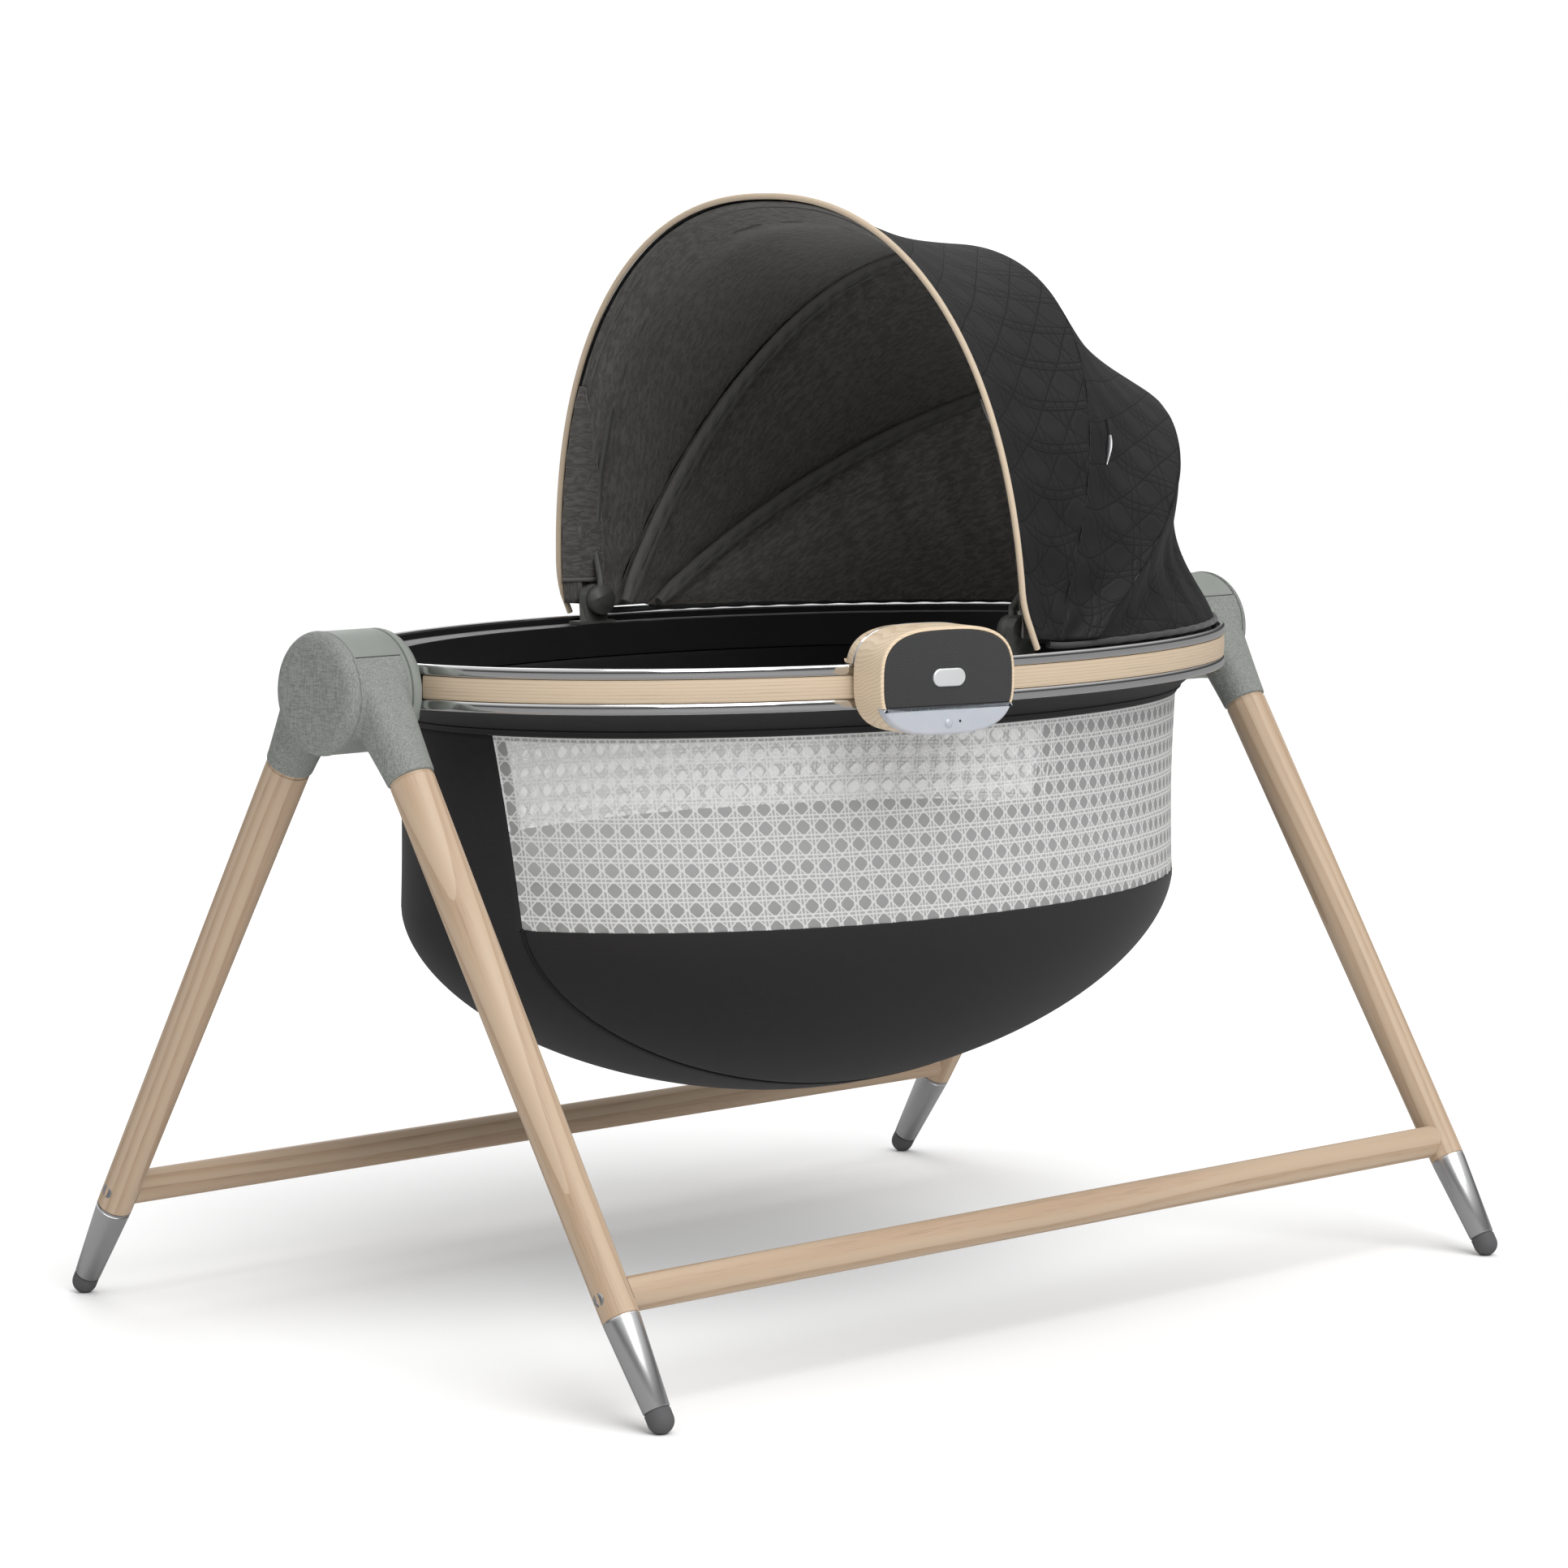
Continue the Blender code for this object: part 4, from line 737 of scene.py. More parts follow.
def dress_leg(side, front, tag):
    drop = 1 / sqrt(1 + LEG_SLOPE ** 2)
    low, high = leg_point(side, front, FERRULE_TOP_Z), leg_point(side, front, LEG_TOP_Z)
    length = (high - low).length
    neck = (SOCKET_END_Z - FERRULE_TOP_Z) / drop / length
    groove = 0.0016 / length
    r, end_radius = LEG_LOW_RADIUS, leg_radius(SOCKET_END_Z)
    profile = [(0, r - 0.0008), (0.0008 / length, r), (neck - 2 * groove, end_radius),
               (neck - 1.6 * groove, end_radius - 0.001), (neck, end_radius - 0.001),
               (1.0, LEG_TOP_RADIUS - 0.001)]
    leg = flipped(rod_between(low, high, profile))
    show("leg_wood_" + tag, leg, ASH[front], "stand", ["leg_" + tag])
    foot_low = leg_point(side, front, FERRULE_LOW_Z)
    length = (low - foot_low).length - 0.0003
    profile = [(0, FERRULE_TIP_RADIUS - 0.0006), (0.0007 / length, FERRULE_TIP_RADIUS),
               (1 - 0.003 / length, r - 0.0001), (1 - 0.0026 / length, r - 0.0007),
               (1 - 0.0018 / length, r - 0.0007), (1 - 0.0014 / length, r), (1, r - 0.0003)]
    ferrule = flipped(rod_between(foot_low, foot_low + (low - foot_low).normalized() * length,
                                  profile))
    show("ferrule_cap_" + tag, ferrule, DARK_CHROME, "stand", ["ferrule_" + tag])
    centre = leg_point(side, front, FOOT_Z)
    reach = (foot_low - centre).length - 0.0003
    radius = 0.0121
    dome = [(0, -radius)] + [(radius * sin(a), -radius * cos(a)) for a in np.linspace(0.12, pi / 2,
                                                                                      14)]
    dome += [(radius, reach - 0.0014), (radius - 0.0008, reach - 0.0010),
             (radius - 0.0008, reach), (0, reach)]
    foot = turned(dome, along(centre, foot_low), 48)
    place = np.zeros(len(foot.vertices) * 3)
    foot.vertices.foreach_get("co", place)
    place[2::3] = np.maximum(place[2::3], 0.0)
    foot.vertices.foreach_set("co", place)
    show("foot_dome_" + tag, flipped(foot), RUBBER, "stand", ["foot_" + tag])
    show("bolt_head_" + tag, welded("rail_bolt_" + tag), ZINC, "stand",
         ["rail_bolt_" + tag], 25)


def dress_rail(front, tag):
    """An oval rail whose ends are hollowed to the round legs: each point of the section runs
    out to the leg's surface, a distance sqrt(r squared - d squared) short of its axis."""
    centre = centre_of("rail_" + tag)
    half = half_size("rail_" + tag)
    angle = np.linspace(0, 2 * pi, 72, endpoint=False)
    y, z = half.y * np.cos(angle), half.z * np.sin(angle)
    slope = front * -LEG_SLOPE
    off = np.abs(y - slope * z) / sqrt(1 + LEG_SLOPE ** 2)
    clear = leg_radius(centre.z + z) + 0.0003
    end = -LEG_X - np.sqrt(np.maximum(clear ** 2 - off ** 2, 0))
    share = np.linspace(-1, 1, 41)
    points = np.stack(np.broadcast_arrays(share[:, None] * end[None, :], centre.y + y[None, :],
                                          centre.z + z[None, :]), -1)
    data = flipped(grid_mesh("rail", points, wrap_columns=True, caps=True))
    show("rail_wood_" + tag, data, ASH_RAIL, "stand", ["rail_" + tag])


# ---------------------------------------------------------------- hubs
def socket_solid(side, front):
    """A leg socket before rounding: a sector of the hub's band, and a flare down to the leg, whose
    section changes from the leg's circle to a box as wide as the band."""
    low, high = radians(51), radians(138)
    outer, inner = HUB_RADIUS + 0.0002, HUB_RADIUS - 0.0072
    start, end = HUB_INNER + 0.0042, HUB_OUTER
    section = [(outer, start), (outer, end), (inner, end), (inner, start)]
    angle = front * np.linspace(low, high, 24)
    rows = [[(side * x, r * sin(a), AXIS_Z + r * cos(a)) for r, x in section] for a in angle]
    band = flipped(grid_mesh("band", np.array(rows), wrap_columns=True, caps=True))
    bottom = np.array(leg_point(side, front, SOCKET_END_Z))
    off = 0.0320 / sqrt(1 + LEG_SLOPE ** 2)
    top = np.array([side * (start + end) / 2, front * off, AXIS_Z + off * LEG_SLOPE])
    share = np.linspace(0, 1, 16)[:, None]
    grown = share ** 1.3
    a = np.linspace(0, 2 * pi, 48, endpoint=False)[None, :]
    power = 2 / (2 + 2.5 * grown)
    mouth = leg_radius(SOCKET_END_Z) + 0.0014
    wide = mouth + ((end - start) / 2 - mouth - 0.0004) * grown
    deep = mouth + 0.0024 * grown
    u = wide * np.sign(np.cos(a)) * np.abs(np.cos(a)) ** power
    v = deep * np.sign(np.sin(a)) * np.abs(np.sin(a)) ** power
    across = np.array([0, 1, front * LEG_SLOPE]) / sqrt(1 + LEG_SLOPE ** 2)
    points = bottom + (top - bottom) * share[..., None] + u[..., None] * np.array([1.0, 0, 0]) \
        + v[..., None] * across
    flare = flipped(grid_mesh("flare", points, wrap_columns=True, caps=True))
    return joined("socket", [band, flare])


def dress_socket(side, front, tag):
    """The socket's two solids become one through a voxel remesh, and smoothing rounds the
    corner between band and cone."""
    remesh = ("REMESH", dict(mode="VOXEL", voxel_size=0.0013))
    soften = ("SMOOTH", dict(factor=0.55, iterations=9))
    data = evaluated("socket", socket_solid(side, front), remesh, soften)
    show("socket_shell_" + tag, data, HUB_WOVEN, "stand", ["leg_socket_" + tag], 60)
    r, a = HUB_RADIUS - 0.0001, front * radians(52.5)
    ends = [(side * x, r * sin(a), AXIS_Z + r * cos(a)) for x in np.linspace(HUB_INNER + 0.006,
                                                                             HUB_OUTER - 0.003, 6)]
    show("socket_groove_" + tag, flipped(tube(ends, 0.00055, 8)), FRAME_BLACK, "stand")


def dress_hub(side, tag):
    place = outward(side)
    r = HUB_RADIUS - 0.0006
    edge = 0.0018
    drum = [(0, HUB_INNER + 0.003), (r - edge, HUB_INNER), (r - edge * 0.3, HUB_INNER + edge * 0.3),
            (r, HUB_INNER + edge), (r, HUB_OUTER - 0.0028), (r - 0.0009, HUB_OUTER - 0.0022),
            (r - 0.0009, HUB_OUTER - 0.0004), (0, HUB_OUTER - 0.0004)]
    show("hub_drum_" + tag, flipped(turned(drum, place)), HUB_SMOOTH, "stand",
         ["hub_housing_" + tag])
    top, r = COVER_OUTER, HUB_RADIUS
    crown = 0.0135
    arc = np.linspace(0, pi / 2, 10)
    cover = [(0, top)] + [(r - crown + crown * sin(a),
                           HUB_OUTER + 0.0006 + (top - HUB_OUTER - 0.0006)
                           * cos(a)) for a in arc]
    cover += [(r - 0.0006, HUB_OUTER + 0.0002), (0, HUB_OUTER + 0.0002)]
    show("hub_dome_" + tag, flipped(turned(cover, place)), HUB_WOVEN, "stand",
         ["hub_cover_" + tag])
    depth = HUB_INNER - 0.0003 - CAP_INNER
    r = HUB_RADIUS - 0.0006
    cap = [(0, CAP_INNER)]
    cap += [(0.036 + (r - 0.036) * sin(a), CAP_INNER + (depth - 0.004) * (1 - cos(a)))
            for a in np.linspace(0, pi / 2, 14)]
    cap += [(r, HUB_INNER - 0.0016), (r - 0.0012, HUB_INNER - 0.0008), (0, HUB_INNER - 0.0008)]
    show("rotor_shell_" + tag, flipped(turned(cap, place)), HUB_SMOOTH, "basket",
         ["rotor_cap_" + tag])
    low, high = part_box("rim_bracket_" + tag)
    block = [(low.y, low.z), (high.y, low.z), (high.y, high.z), (low.y, high.z)]
    outline = rounded(block, 0.010, 6)
    rows = []
    for x, inset in ((low.x, 0.0008), (low.x + 0.0008, 0), (high.x - 0.0008, 0), (high.x, 0.0008)):
        middle = outline.mean(0)
        spread = middle + (outline - middle) * (1 - inset / 0.02)
        rows.append([(x, y, z) for y, z in spread])
    data = flipped(grid_mesh("bracket", np.array(rows), wrap_columns=True, caps=True))
    show("bracket_plate_" + tag, data, HUB_SMOOTH, "basket", ["rim_bracket_" + tag])


# ---------------------------------------------------------------- rim
def dress_rim():
    ring_half = (UPPER_RING[1].z - UPPER_RING[0].z) / 2
    for name, box in (("upper", UPPER_RING), ("lower", LOWER_RING)):
        middle = (box[0].z + box[1].z) / 2
        a = np.linspace(0, 2 * pi, 36, endpoint=False)
        power = 2 / 2.8
        out = RING_PROUD - 0.003 + 0.003 * np.sign(np.cos(a)) * np.abs(np.cos(a)) ** power
        height = middle + ring_half * np.sign(np.sin(a)) * np.abs(np.sin(a)) ** power
        show(f"chrome_strip_{name}", flipped(rim_sweep(np.stack([out, height], -1))), CHROME,
             "basket", [f"chrome_ring_{name}"], 60)
    low, high = FRAME_LOW.z, FRAME_HIGH.z
    section = [(-0.0066, high + 0.0052), (-0.0078, high + 0.0052), (-0.0084, high - 0.0030),
               (-0.0115, high - 0.0030), (-0.0125, high - 0.0002),
               (-0.0425, high - 0.0002), (-0.0430, low), (-0.0066, low)]
    show("rim_ledge", flipped(rim_sweep(rounded(section, 0.0006))), FRAME_BLACK, "basket",
         ["rim_frame"], 60)
    gap = atan2(BRACKET_HALF, RIM_B)
    low, high = BAND_LOW.z, BAND_HIGH.z
    section = [(-0.0028, low), (-0.0006, low), (-0.0001, (low + high) / 2), (-0.0006, high),
               (-0.0028, high)]
    for front, name in FRONTS:
        start = gap if front > 0 else pi + gap
        data = rim_sweep(rounded(section, 0.0010), start, start + pi - 2 * gap, 180)
        show("veneer_" + name, flipped(data), VENEER, "basket", ["rim_band_" + name],
             60)


# ---------------------------------------------------------------- basket cover
def wall_scale(height):
    """How far the wall stands out at a height: the skirt flares up to the rim."""
    rise = np.clip((height - WINDOW_TOP_Z) / (CLOTH_HIGH.z - WINDOW_TOP_Z), 0, 1)
    low = np.clip((height - HOOP_Z) / (WINDOW_TOP_Z - HOOP_Z), 0, 1)
    return 1.0 + 0.006 * low + SKIRT_FLARE * rise ** 1.6 - 0.006 * np.sin(pi * low)


def seam_angle(height):
    share = np.clip((WINDOW_TOP_Z - height) / (WINDOW_TOP_Z - HOOP_Z), 0, 1)
    return (SEAM_TOP_Y + (SEAM_LOW_Y - SEAM_TOP_Y) * share) / WALL_B


def wall_points(angle, height, inset=0.0):
    scale = wall_scale(height)
    return np.stack([(WALL_A * scale - inset) * np.cos(angle),
                     (WALL_B * scale - inset) * np.sin(angle),
                     height + 0 * angle], -1)


def hull_points(x, y):
    """The hull below the hoop: depth = (1 - rho ** n) ** (1 / n), where rho is the distance
    from the middle as a share of the wall's ellipse."""
    rho = np.clip(np.hypot(x / WALL_A, y / WALL_B), 0, 1)
    depth = (1 - rho ** HULL_POWER) ** (1 / HULL_POWER)
    return np.stack([x, y, HOOP_Z - (HOOP_Z - CLOTH_LOW.z) * depth], -1)


def edge_roll(points, distance, depth=0.0016, width=0.005):
    """Pulls a panel in by depth over the last few millimetres before its seams.  distance is
    each point's distance from the nearest seam."""
    du = np.gradient(points, axis=1)
    dv = np.gradient(points, axis=0)
    normal = np.cross(du, dv)
    length = np.linalg.norm(normal, axis=-1, keepdims=True)
    normal = normal / np.maximum(length, 1e-12)
    middle = np.array([0, 0, 0.42])
    facing = np.sign(((points - middle) * normal).sum(-1, keepdims=True))
    near = np.clip(1 - distance / width, 0, 1)
    return points - normal * facing * (depth * near ** 2)[..., None]


def declare(points, around=False):
    """Does nothing with a grid of points: with around it joins a local copy's rows into rings, which is then
    dropped."""
    if around:
        points = np.concatenate([points, points[:, :1]], 1)


def keel_line(t, front):
    """A seam under the basket from the foot end (0) to the head end (1), as shares of the wall's
    half sizes.  At the hoop it starts from one panel's near seam and ends at the other's wide
    seam; x runs along the keel, and the distance out changes from hoop to middle."""
    first, last = seam_angle(HOOP_Z), WIDE_SEAM
    if front > 0:
        first, last = last, first
    ends = (-cos(first), sin(first)), (cos(last), sin(last))
    ahead = (1 - np.cos(pi * t)) / 2
    x = ends[0][0] + (ends[1][0] - ends[0][0]) * ahead
    out = ends[0][1] + (ends[1][1] - ends[0][1]) * ahead
    out = out + (SEAM_KEEL_Y / WALL_B - out) * np.sin(pi * t)
    return np.stack([x, front * out], -1)


def keel_points(t, u):
    """The end panels and the keel between them are one strip; u runs from -1 to 1 across it.
    At the hoop a row follows the wall's ellipse, and further in it straightens."""
    near, far = keel_line(t, -1), keel_line(t, 1)
    share = (u[..., None] + 1) / 2
    straight = near * (1 - share) + far * share
    reach = np.linalg.norm(near, axis=-1, keepdims=True) * (1 - share)
    reach += np.linalg.norm(far, axis=-1, keepdims=True) * share
    length = np.maximum(np.linalg.norm(straight, axis=-1, keepdims=True), 1e-6)
    bow = np.clip(reach, 0, 1) ** 6
    plane = straight * (1 - bow) + straight / length * reach * bow
    return hull_points(plane[..., 0] * WALL_A, plane[..., 1] * WALL_B)


def dress_cover():
    """The keel strip with both end panels, the two sides of the hull, their seams and the skirt."""
    u = np.sin(np.linspace(-pi / 2, pi / 2, 33))
    wall_z = np.linspace(WINDOW_TOP_Z + 0.002, HOOP_Z + 0.0005, 26)
    parts = []
    for end in (0, 1):
        near_seam = seam_angle(wall_z)[:, None]
        if end == 0:
            angle = pi + near_seam - (near_seam + WIDE_SEAM) * (u[None, :] + 1) / 2
        else:
            angle = -WIDE_SEAM + (near_seam + WIDE_SEAM) * (u[None, :] + 1) / 2
        wall = wall_points(angle, wall_z[:, None] + 0 * angle)
        parts.append(wall if end == 0 else wall[::-1])
    t = np.linspace(0, 1, 181)[1:-1]
    t = t - 0.06 * np.sin(2 * pi * t)
    hull = keel_points(t[:, None] + 0 * u[None, :], u[None, :] + 0 * t[:, None])
    strip = np.concatenate([parts[0], hull, parts[1]], 0)
    seam_gap = (1 - np.abs(u))[None, :] * np.linalg.norm(strip[:, 0] - strip[:, -1],
                                                         axis=1)[:, None] / 2
    strip = edge_roll(strip, seam_gap)
    data = facing_out(grid_mesh("keel", strip))
    piece = show("cover_keel", data, COVER_KNIT, "basket", ["basket_fabric"], 60,
                 0.0016)
    declare(strip)
    for front, name in FRONTS:
        side = hull_side(front)
        piece = show("cover_hull_" + name, facing_out(grid_mesh("hull_side", side)), COVER_KNIT,
                     "basket",
                     (), 60, 0.0016)
        declare(side)
        plane = keel_line(np.linspace(0.004, 0.996, 160), front)
        seam = hull_points(plane[:, 0] * WALL_A, plane[:, 1] * WALL_B)
        seam[:, 2] += 0.0006
        show("keel_seam_" + name, flipped(tube(seam, 0.0010, 8)), LINER_KNIT, "basket")
    skirt()


def hull_side(front):
    """One side of the hull: rows run from the hoop down to the keel seam."""
    share = np.linspace(0, 1, 150)
    first, last = seam_angle(HOOP_Z), WIDE_SEAM
    if front > 0:
        first, last = last, first
    hoop_angle = pi - first + (last + first - pi) * share
    top = np.stack([np.cos(hoop_angle), front * np.sin(hoop_angle)], -1)
    low = keel_line(share, front)
    v = np.concatenate([np.linspace(0, 0.05, 8)[:-1], np.linspace(0.05, 1, 60)])
    down = (v ** 1.8)[:, None, None]
    plane = top[None] * (1 - down) + low[None] * down
    points = hull_points(plane[..., 0] * WALL_A, plane[..., 1] * WALL_B)
    gap = (1 - v)[:, None] * np.linalg.norm(points[0] - points[-1], axis=-1)[None, :]
    points = edge_roll(points, gap)
    points[0, :, 2] = HOOP_Z + 0.0005
    return points


def facing(data, middle, outwards=True):
    """Faces turned away from a point inside the piece, or towards it for a lining."""
    shape = bmesh.new()
    shape.from_mesh(data)
    shape.normal_update()
    tally = sum(face.calc_area() * (1 if (face.calc_center_median() - middle).dot(face.normal) > 0
                                    else -1) for face in shape.faces)
    if (tally > 0) != outwards:
        bmesh.ops.reverse_faces(shape, faces=shape.faces)
    shape.to_mesh(data)
    shape.free()
    return data


def facing_out(data):
    return facing(data, Vector(BASKET_MIDDLE))


def skirt():
    """The band from the rim to the window top: it curves in, and ends in a folded hem."""
    theta = np.linspace(0, 2 * pi, 320, endpoint=False)[None, :]
    z = np.concatenate([np.linspace(CLOTH_HIGH.z, WINDOW_TOP_Z + 0.0005, 16)])
    z = z[:, None] + 0 * theta
    points = wall_points(theta + 0 * z, z, -0.0010)
    hem = wall_points(theta, WINDOW_TOP_Z - 0.0008 + 0 * theta, 0.0002)
    points = np.concatenate([points, hem], 0)
    piece = show("cover_skirt", facing_out(grid_mesh("skirt", points, wrap_columns=True)),
                 COVER_KNIT,
                 "basket", (), 60, 0.0018)
    declare(points, True)
    theta = np.linspace(0, 2 * pi, 240, endpoint=False)
    ridge = wall_points(theta, WINDOW_TOP_Z + 0.0055 + 0 * theta, -0.0018)
    show("skirt_stitch", tube(ridge, 0.0006, 8, closed=True), LINER_KNIT, "basket")
    z = np.linspace(FRAME_LOW.z - 0.001, WINDOW_TOP_Z - 0.006, 8)[:, None]
    theta = np.linspace(0, 2 * pi, 240, endpoint=False)[None, :]
    fall = (FRAME_LOW.z - z) / (FRAME_LOW.z - WINDOW_TOP_Z)
    half_x = 0.4615 + (0.4405 - 0.4615) * np.clip(fall, 0, 1)
    half_y = 0.2895 + (0.2865 - 0.2895) * np.clip(fall, 0, 1)
    points = np.stack([half_x * np.cos(theta), half_y * np.sin(theta), z + 0 * theta], -1)
    piece = show("inner_liner", facing_out(grid_mesh("liner", points, wrap_columns=True)),
                 LINER_KNIT,
                 "basket", (), 60, 0.0010)
    declare(points, True)


def dress_window(front, name):
    """A knitted window between the two seams, slightly drawn in between rim and hoop, with
    small puckers along its lower edge.  The cloth's own coordinates are metres along the wall."""
    z = np.linspace(WINDOW_TOP_Z + 0.003, HOOP_Z + 0.0006, 48)
    share = np.linspace(0, 1, 361)
    first = seam_angle(z)[:, None] + 0.0006 / WALL_B
    last = WIDE_SEAM + 0.0006 / WALL_B + 0 * first
    if front > 0:
        first, last = last, first
    angle = front * (pi - first - (pi - first - last) * share[None, :])
    height = z[:, None] + 0 * angle
    pucker = np.exp(-(height - HOOP_Z) / 0.012) * 0.0007 * np.sin(share[None, :] * 190.0)
    points = wall_points(angle, height, 0.0008 + pucker)
    step = np.linalg.norm(np.diff(points, axis=1), axis=-1)
    length = np.concatenate([np.zeros((len(z), 1)), np.cumsum(step, 1)], 1)
    length -= length[:, length.shape[1] // 2][:, None]
    uv = np.stack([length, height], -1)
    data = facing_out(grid_mesh("window", points, uv=uv))
    piece = show("window_net_" + name, data, NET, "basket", ["mesh_window_" + name],
                 80)
    for tag, near in (("start", 0), ("end", -1)):
        across = np.linspace(0, 0.016, 5)[None, :] / WALL_A
        turn_way = 1 if near == 0 else -1
        strip_angle = angle[:, near][:, None] - front * turn_way * across
        tape = wall_points(strip_angle, z[:, None] + 0 * strip_angle, 0.0034)
        strip = show(f"window_tape_{name}_{tag}", facing_out(grid_mesh("tape", tape)), SEAM_TAPE,
                     "basket", (), 60, 0.0006)
        declare(tape)
    declare(points)


# ---------------------------------------------------------------- bed
def pad_points(half_x, half_y, low, high, roll=0.010, crown=0.002):
    """Rings of an oval pad: from the middle of its underside out to the edge, up round the roll
    and back to the middle of its top, which is crowned by crown * (1 - share ** 2)."""
    flat = np.linspace(0, 1, 16)[:-1]
    a = np.linspace(-pi / 2, pi / 2, 14)
    inset = roll * (1 - np.maximum(np.cos(a), 0) ** 0.7)
    thick = (high - low) / 2
    lift = thick * np.sign(np.sin(a)) * np.abs(np.sin(a)) ** 0.7
    theta = np.linspace(0, 2 * pi, 160, endpoint=False)
    rings = []
    for side, shares in ((-1, flat), (0, ()), (1, flat[::-1])):
        for share in shares:
            rise = crown * (1 - share ** 2) if side > 0 else 0.0
            rings.append((share * (half_x - roll), share * (half_y - roll),
                          (low + high) / 2 + side * thick + rise))
        if side == 0:
            rings += [(half_x - i, half_y - i, (low + high) / 2 + z) for i, z in zip(inset, lift)]
    x, y, z = np.array(rings).T[:, :, None]
    return np.stack([x * np.cos(theta), y * np.sin(theta), z + 0 * theta], -1)


def dress_bed():
    low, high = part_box("mattress")
    points = pad_points(high.x - 0.004, high.y - 0.004, low.z + 0.0005, high.z - 0.003)
    pad = evaluated("pad", flipped(grid_mesh("pad", points, wrap_columns=True)),
                    ("REMESH", dict(mode="VOXEL", voxel_size=0.008)))
    pad = inflated(pad, cap=0.005, ceiling=high.z + 0.006, floor=low.z)
    pad = evaluated("pad", pad, ("SUBSURF", dict(levels=1, render_levels=1)))
    reach = np.max([np.abs(vertex.co[:2]) for vertex in pad.vertices], 0)
    piece = show("mattress_pad", pad, BED_COVER, "basket", ["mattress"], 80)
    tapes = []
    theta = np.linspace(0, 2 * pi, 220, endpoint=False)
    for z in (low.z + 0.0045, high.z - 0.0065):
        route = np.stack([reach[0] * np.cos(theta), reach[1] * np.sin(theta), z + 0 * theta], -1)
        route[:, :2] *= 1 - 0.0012 / reach
        tape = show(f"mattress_tape_{len(tapes)}", tube(route, 0.0020, 12, closed=True), BED_TAPE,
                    "basket")
        tapes.append(tape)
    frame["nodes"]["mattress_board"].data.materials.clear()
    frame["nodes"]["mattress_board"].data.materials.append(BOARD)


def inflated(data, cap, ceiling, floor):
    """Blows the pad up with a cloth simulation, then limits how far each point moved."""
    start = np.zeros(len(data.vertices) * 3)
    data.vertices.foreach_get("co", start)
    start = start.reshape(-1, 3)
    holder = bpy.data.objects.new("soft_pad", data)
    bpy.context.scene.collection.objects.link(holder)
    cloth = holder.modifiers.new("cloth", "CLOTH")
    cloth.settings.use_pressure = True
    cloth.settings.uniform_pressure_force = 4.0
    cloth.settings.quality = 4
    cloth.settings.effector_weights.gravity = 0.0
    cloth.point_cache.frame_end = 20
    for step in range(1, 21):
        bpy.context.scene.frame_set(step)
    shown = holder.evaluated_get(bpy.context.evaluated_depsgraph_get())
    result = bpy.data.meshes.new_from_object(shown)
    bpy.data.objects.remove(holder)
    bpy.context.scene.frame_set(1)
    end = np.zeros(len(result.vertices) * 3)
    result.vertices.foreach_get("co", end)
    move = end.reshape(-1, 3) - start
    far = np.linalg.norm(move, axis=1, keepdims=True)
    moved = start + move * np.minimum(1, cap / np.maximum(far, 1e-9))
    moved[:, 2] = np.clip(moved[:, 2], floor, ceiling)
    result.vertices.foreach_set("co", moved.ravel())
    return result


# ---------------------------------------------------------------- canopy
def arc_points(arc, angle, grow=0.0):
    """Points of a leaning superellipse arc; the angle runs from one root (0) to the other (pi)."""
    c, s = np.cos(angle), np.maximum(np.sin(angle), 0)
    power = 2 / arc["power"]
    across = (arc["half"] + grow) * np.sign(c) * np.abs(c) ** power
    reach = (arc["height"] + grow) * s ** power
    root_x, root_z = arc["root"]
    return np.stack([root_x + reach * sin(arc["lean"]), across, root_z + reach * cos(arc["lean"])],
                    -1)


def start_angle(arc, height):
    share = max(0.0, height - arc["root"][1]) / cos(arc["lean"]) / arc["height"]
    lifted = share ** (arc["power"] / 2)
    return atan2(lifted, sqrt(1 - lifted * lifted))


def arc_across(arc, turn, grow=0.0, start=CLOTH_START_Z):
    first = start_angle(arc, start)
    return arc_points(arc, first + (pi - 2 * first) * turn, grow)


def inward(points):
    way = CANOPY_MIDDLE - points
    return way / np.linalg.norm(way, axis=-1, keepdims=True)


def panel_points(first, second, share, turn, sag, depth):
    """Cloth between two arcs at shares of the way across, drawn in between them, with gathers
    that run from arc to arc and are deepest near the roots.  depth moves it inwards."""
    p, q = (arc_across(arc, turn, 0.0, arc["root"][1] + 0.0008) for arc in (first, second))
    points = p + (q - p) * share[..., None]
    root = np.sqrt(np.clip(np.sin(pi * turn), 0, 1))
    fold = 0.0010 * np.sin(turn * 2 * pi * 23 + 2.0 * np.sin(share * 3)) * (1 - root) * 2.2
    fold += 0.0012 * np.sin(turn * 37 + share * 6.0) * np.sin(share * pi)
    fold *= np.clip(share / 0.12, 0, 1) ** 2
    drawn = sag * np.sin(pi * share) * root + fold * np.sin(pi * np.clip(turn * 30, 0, 0.5)) + depth
    return points + inward(points) * drawn[..., None]


def foot_flare(points, back=0.015, out=0.005):
    """Towards its foot the canopy's front edge sweeps back and out over the rim."""
    low = np.clip((0.695 - points[..., 2]) / 0.054, 0, 1) ** 2
    moved = points.copy()
    moved[..., 0] += back * low
    moved[..., 1] += np.sign(points[..., 1]) * np.minimum(out * low, np.maximum(0, 0.3285 - np.abs(
        points[..., 1])))
    return moved


def cloth_uv(points):
    """Metres along and across the cloth: the mean spacing of the rows and columns, added up."""
    down = np.linalg.norm(np.diff(points, axis=0), axis=-1)
    over = np.linalg.norm(np.diff(points, axis=1), axis=-1)
    v = np.concatenate([np.zeros((1, points.shape[1])), np.cumsum(down, 0)], 0)
    u = np.concatenate([np.zeros((points.shape[0], 1)), np.cumsum(over, 1)], 1)
    u -= u[:, u.shape[1] // 2][:, None]
    return np.stack([u, v], -1)


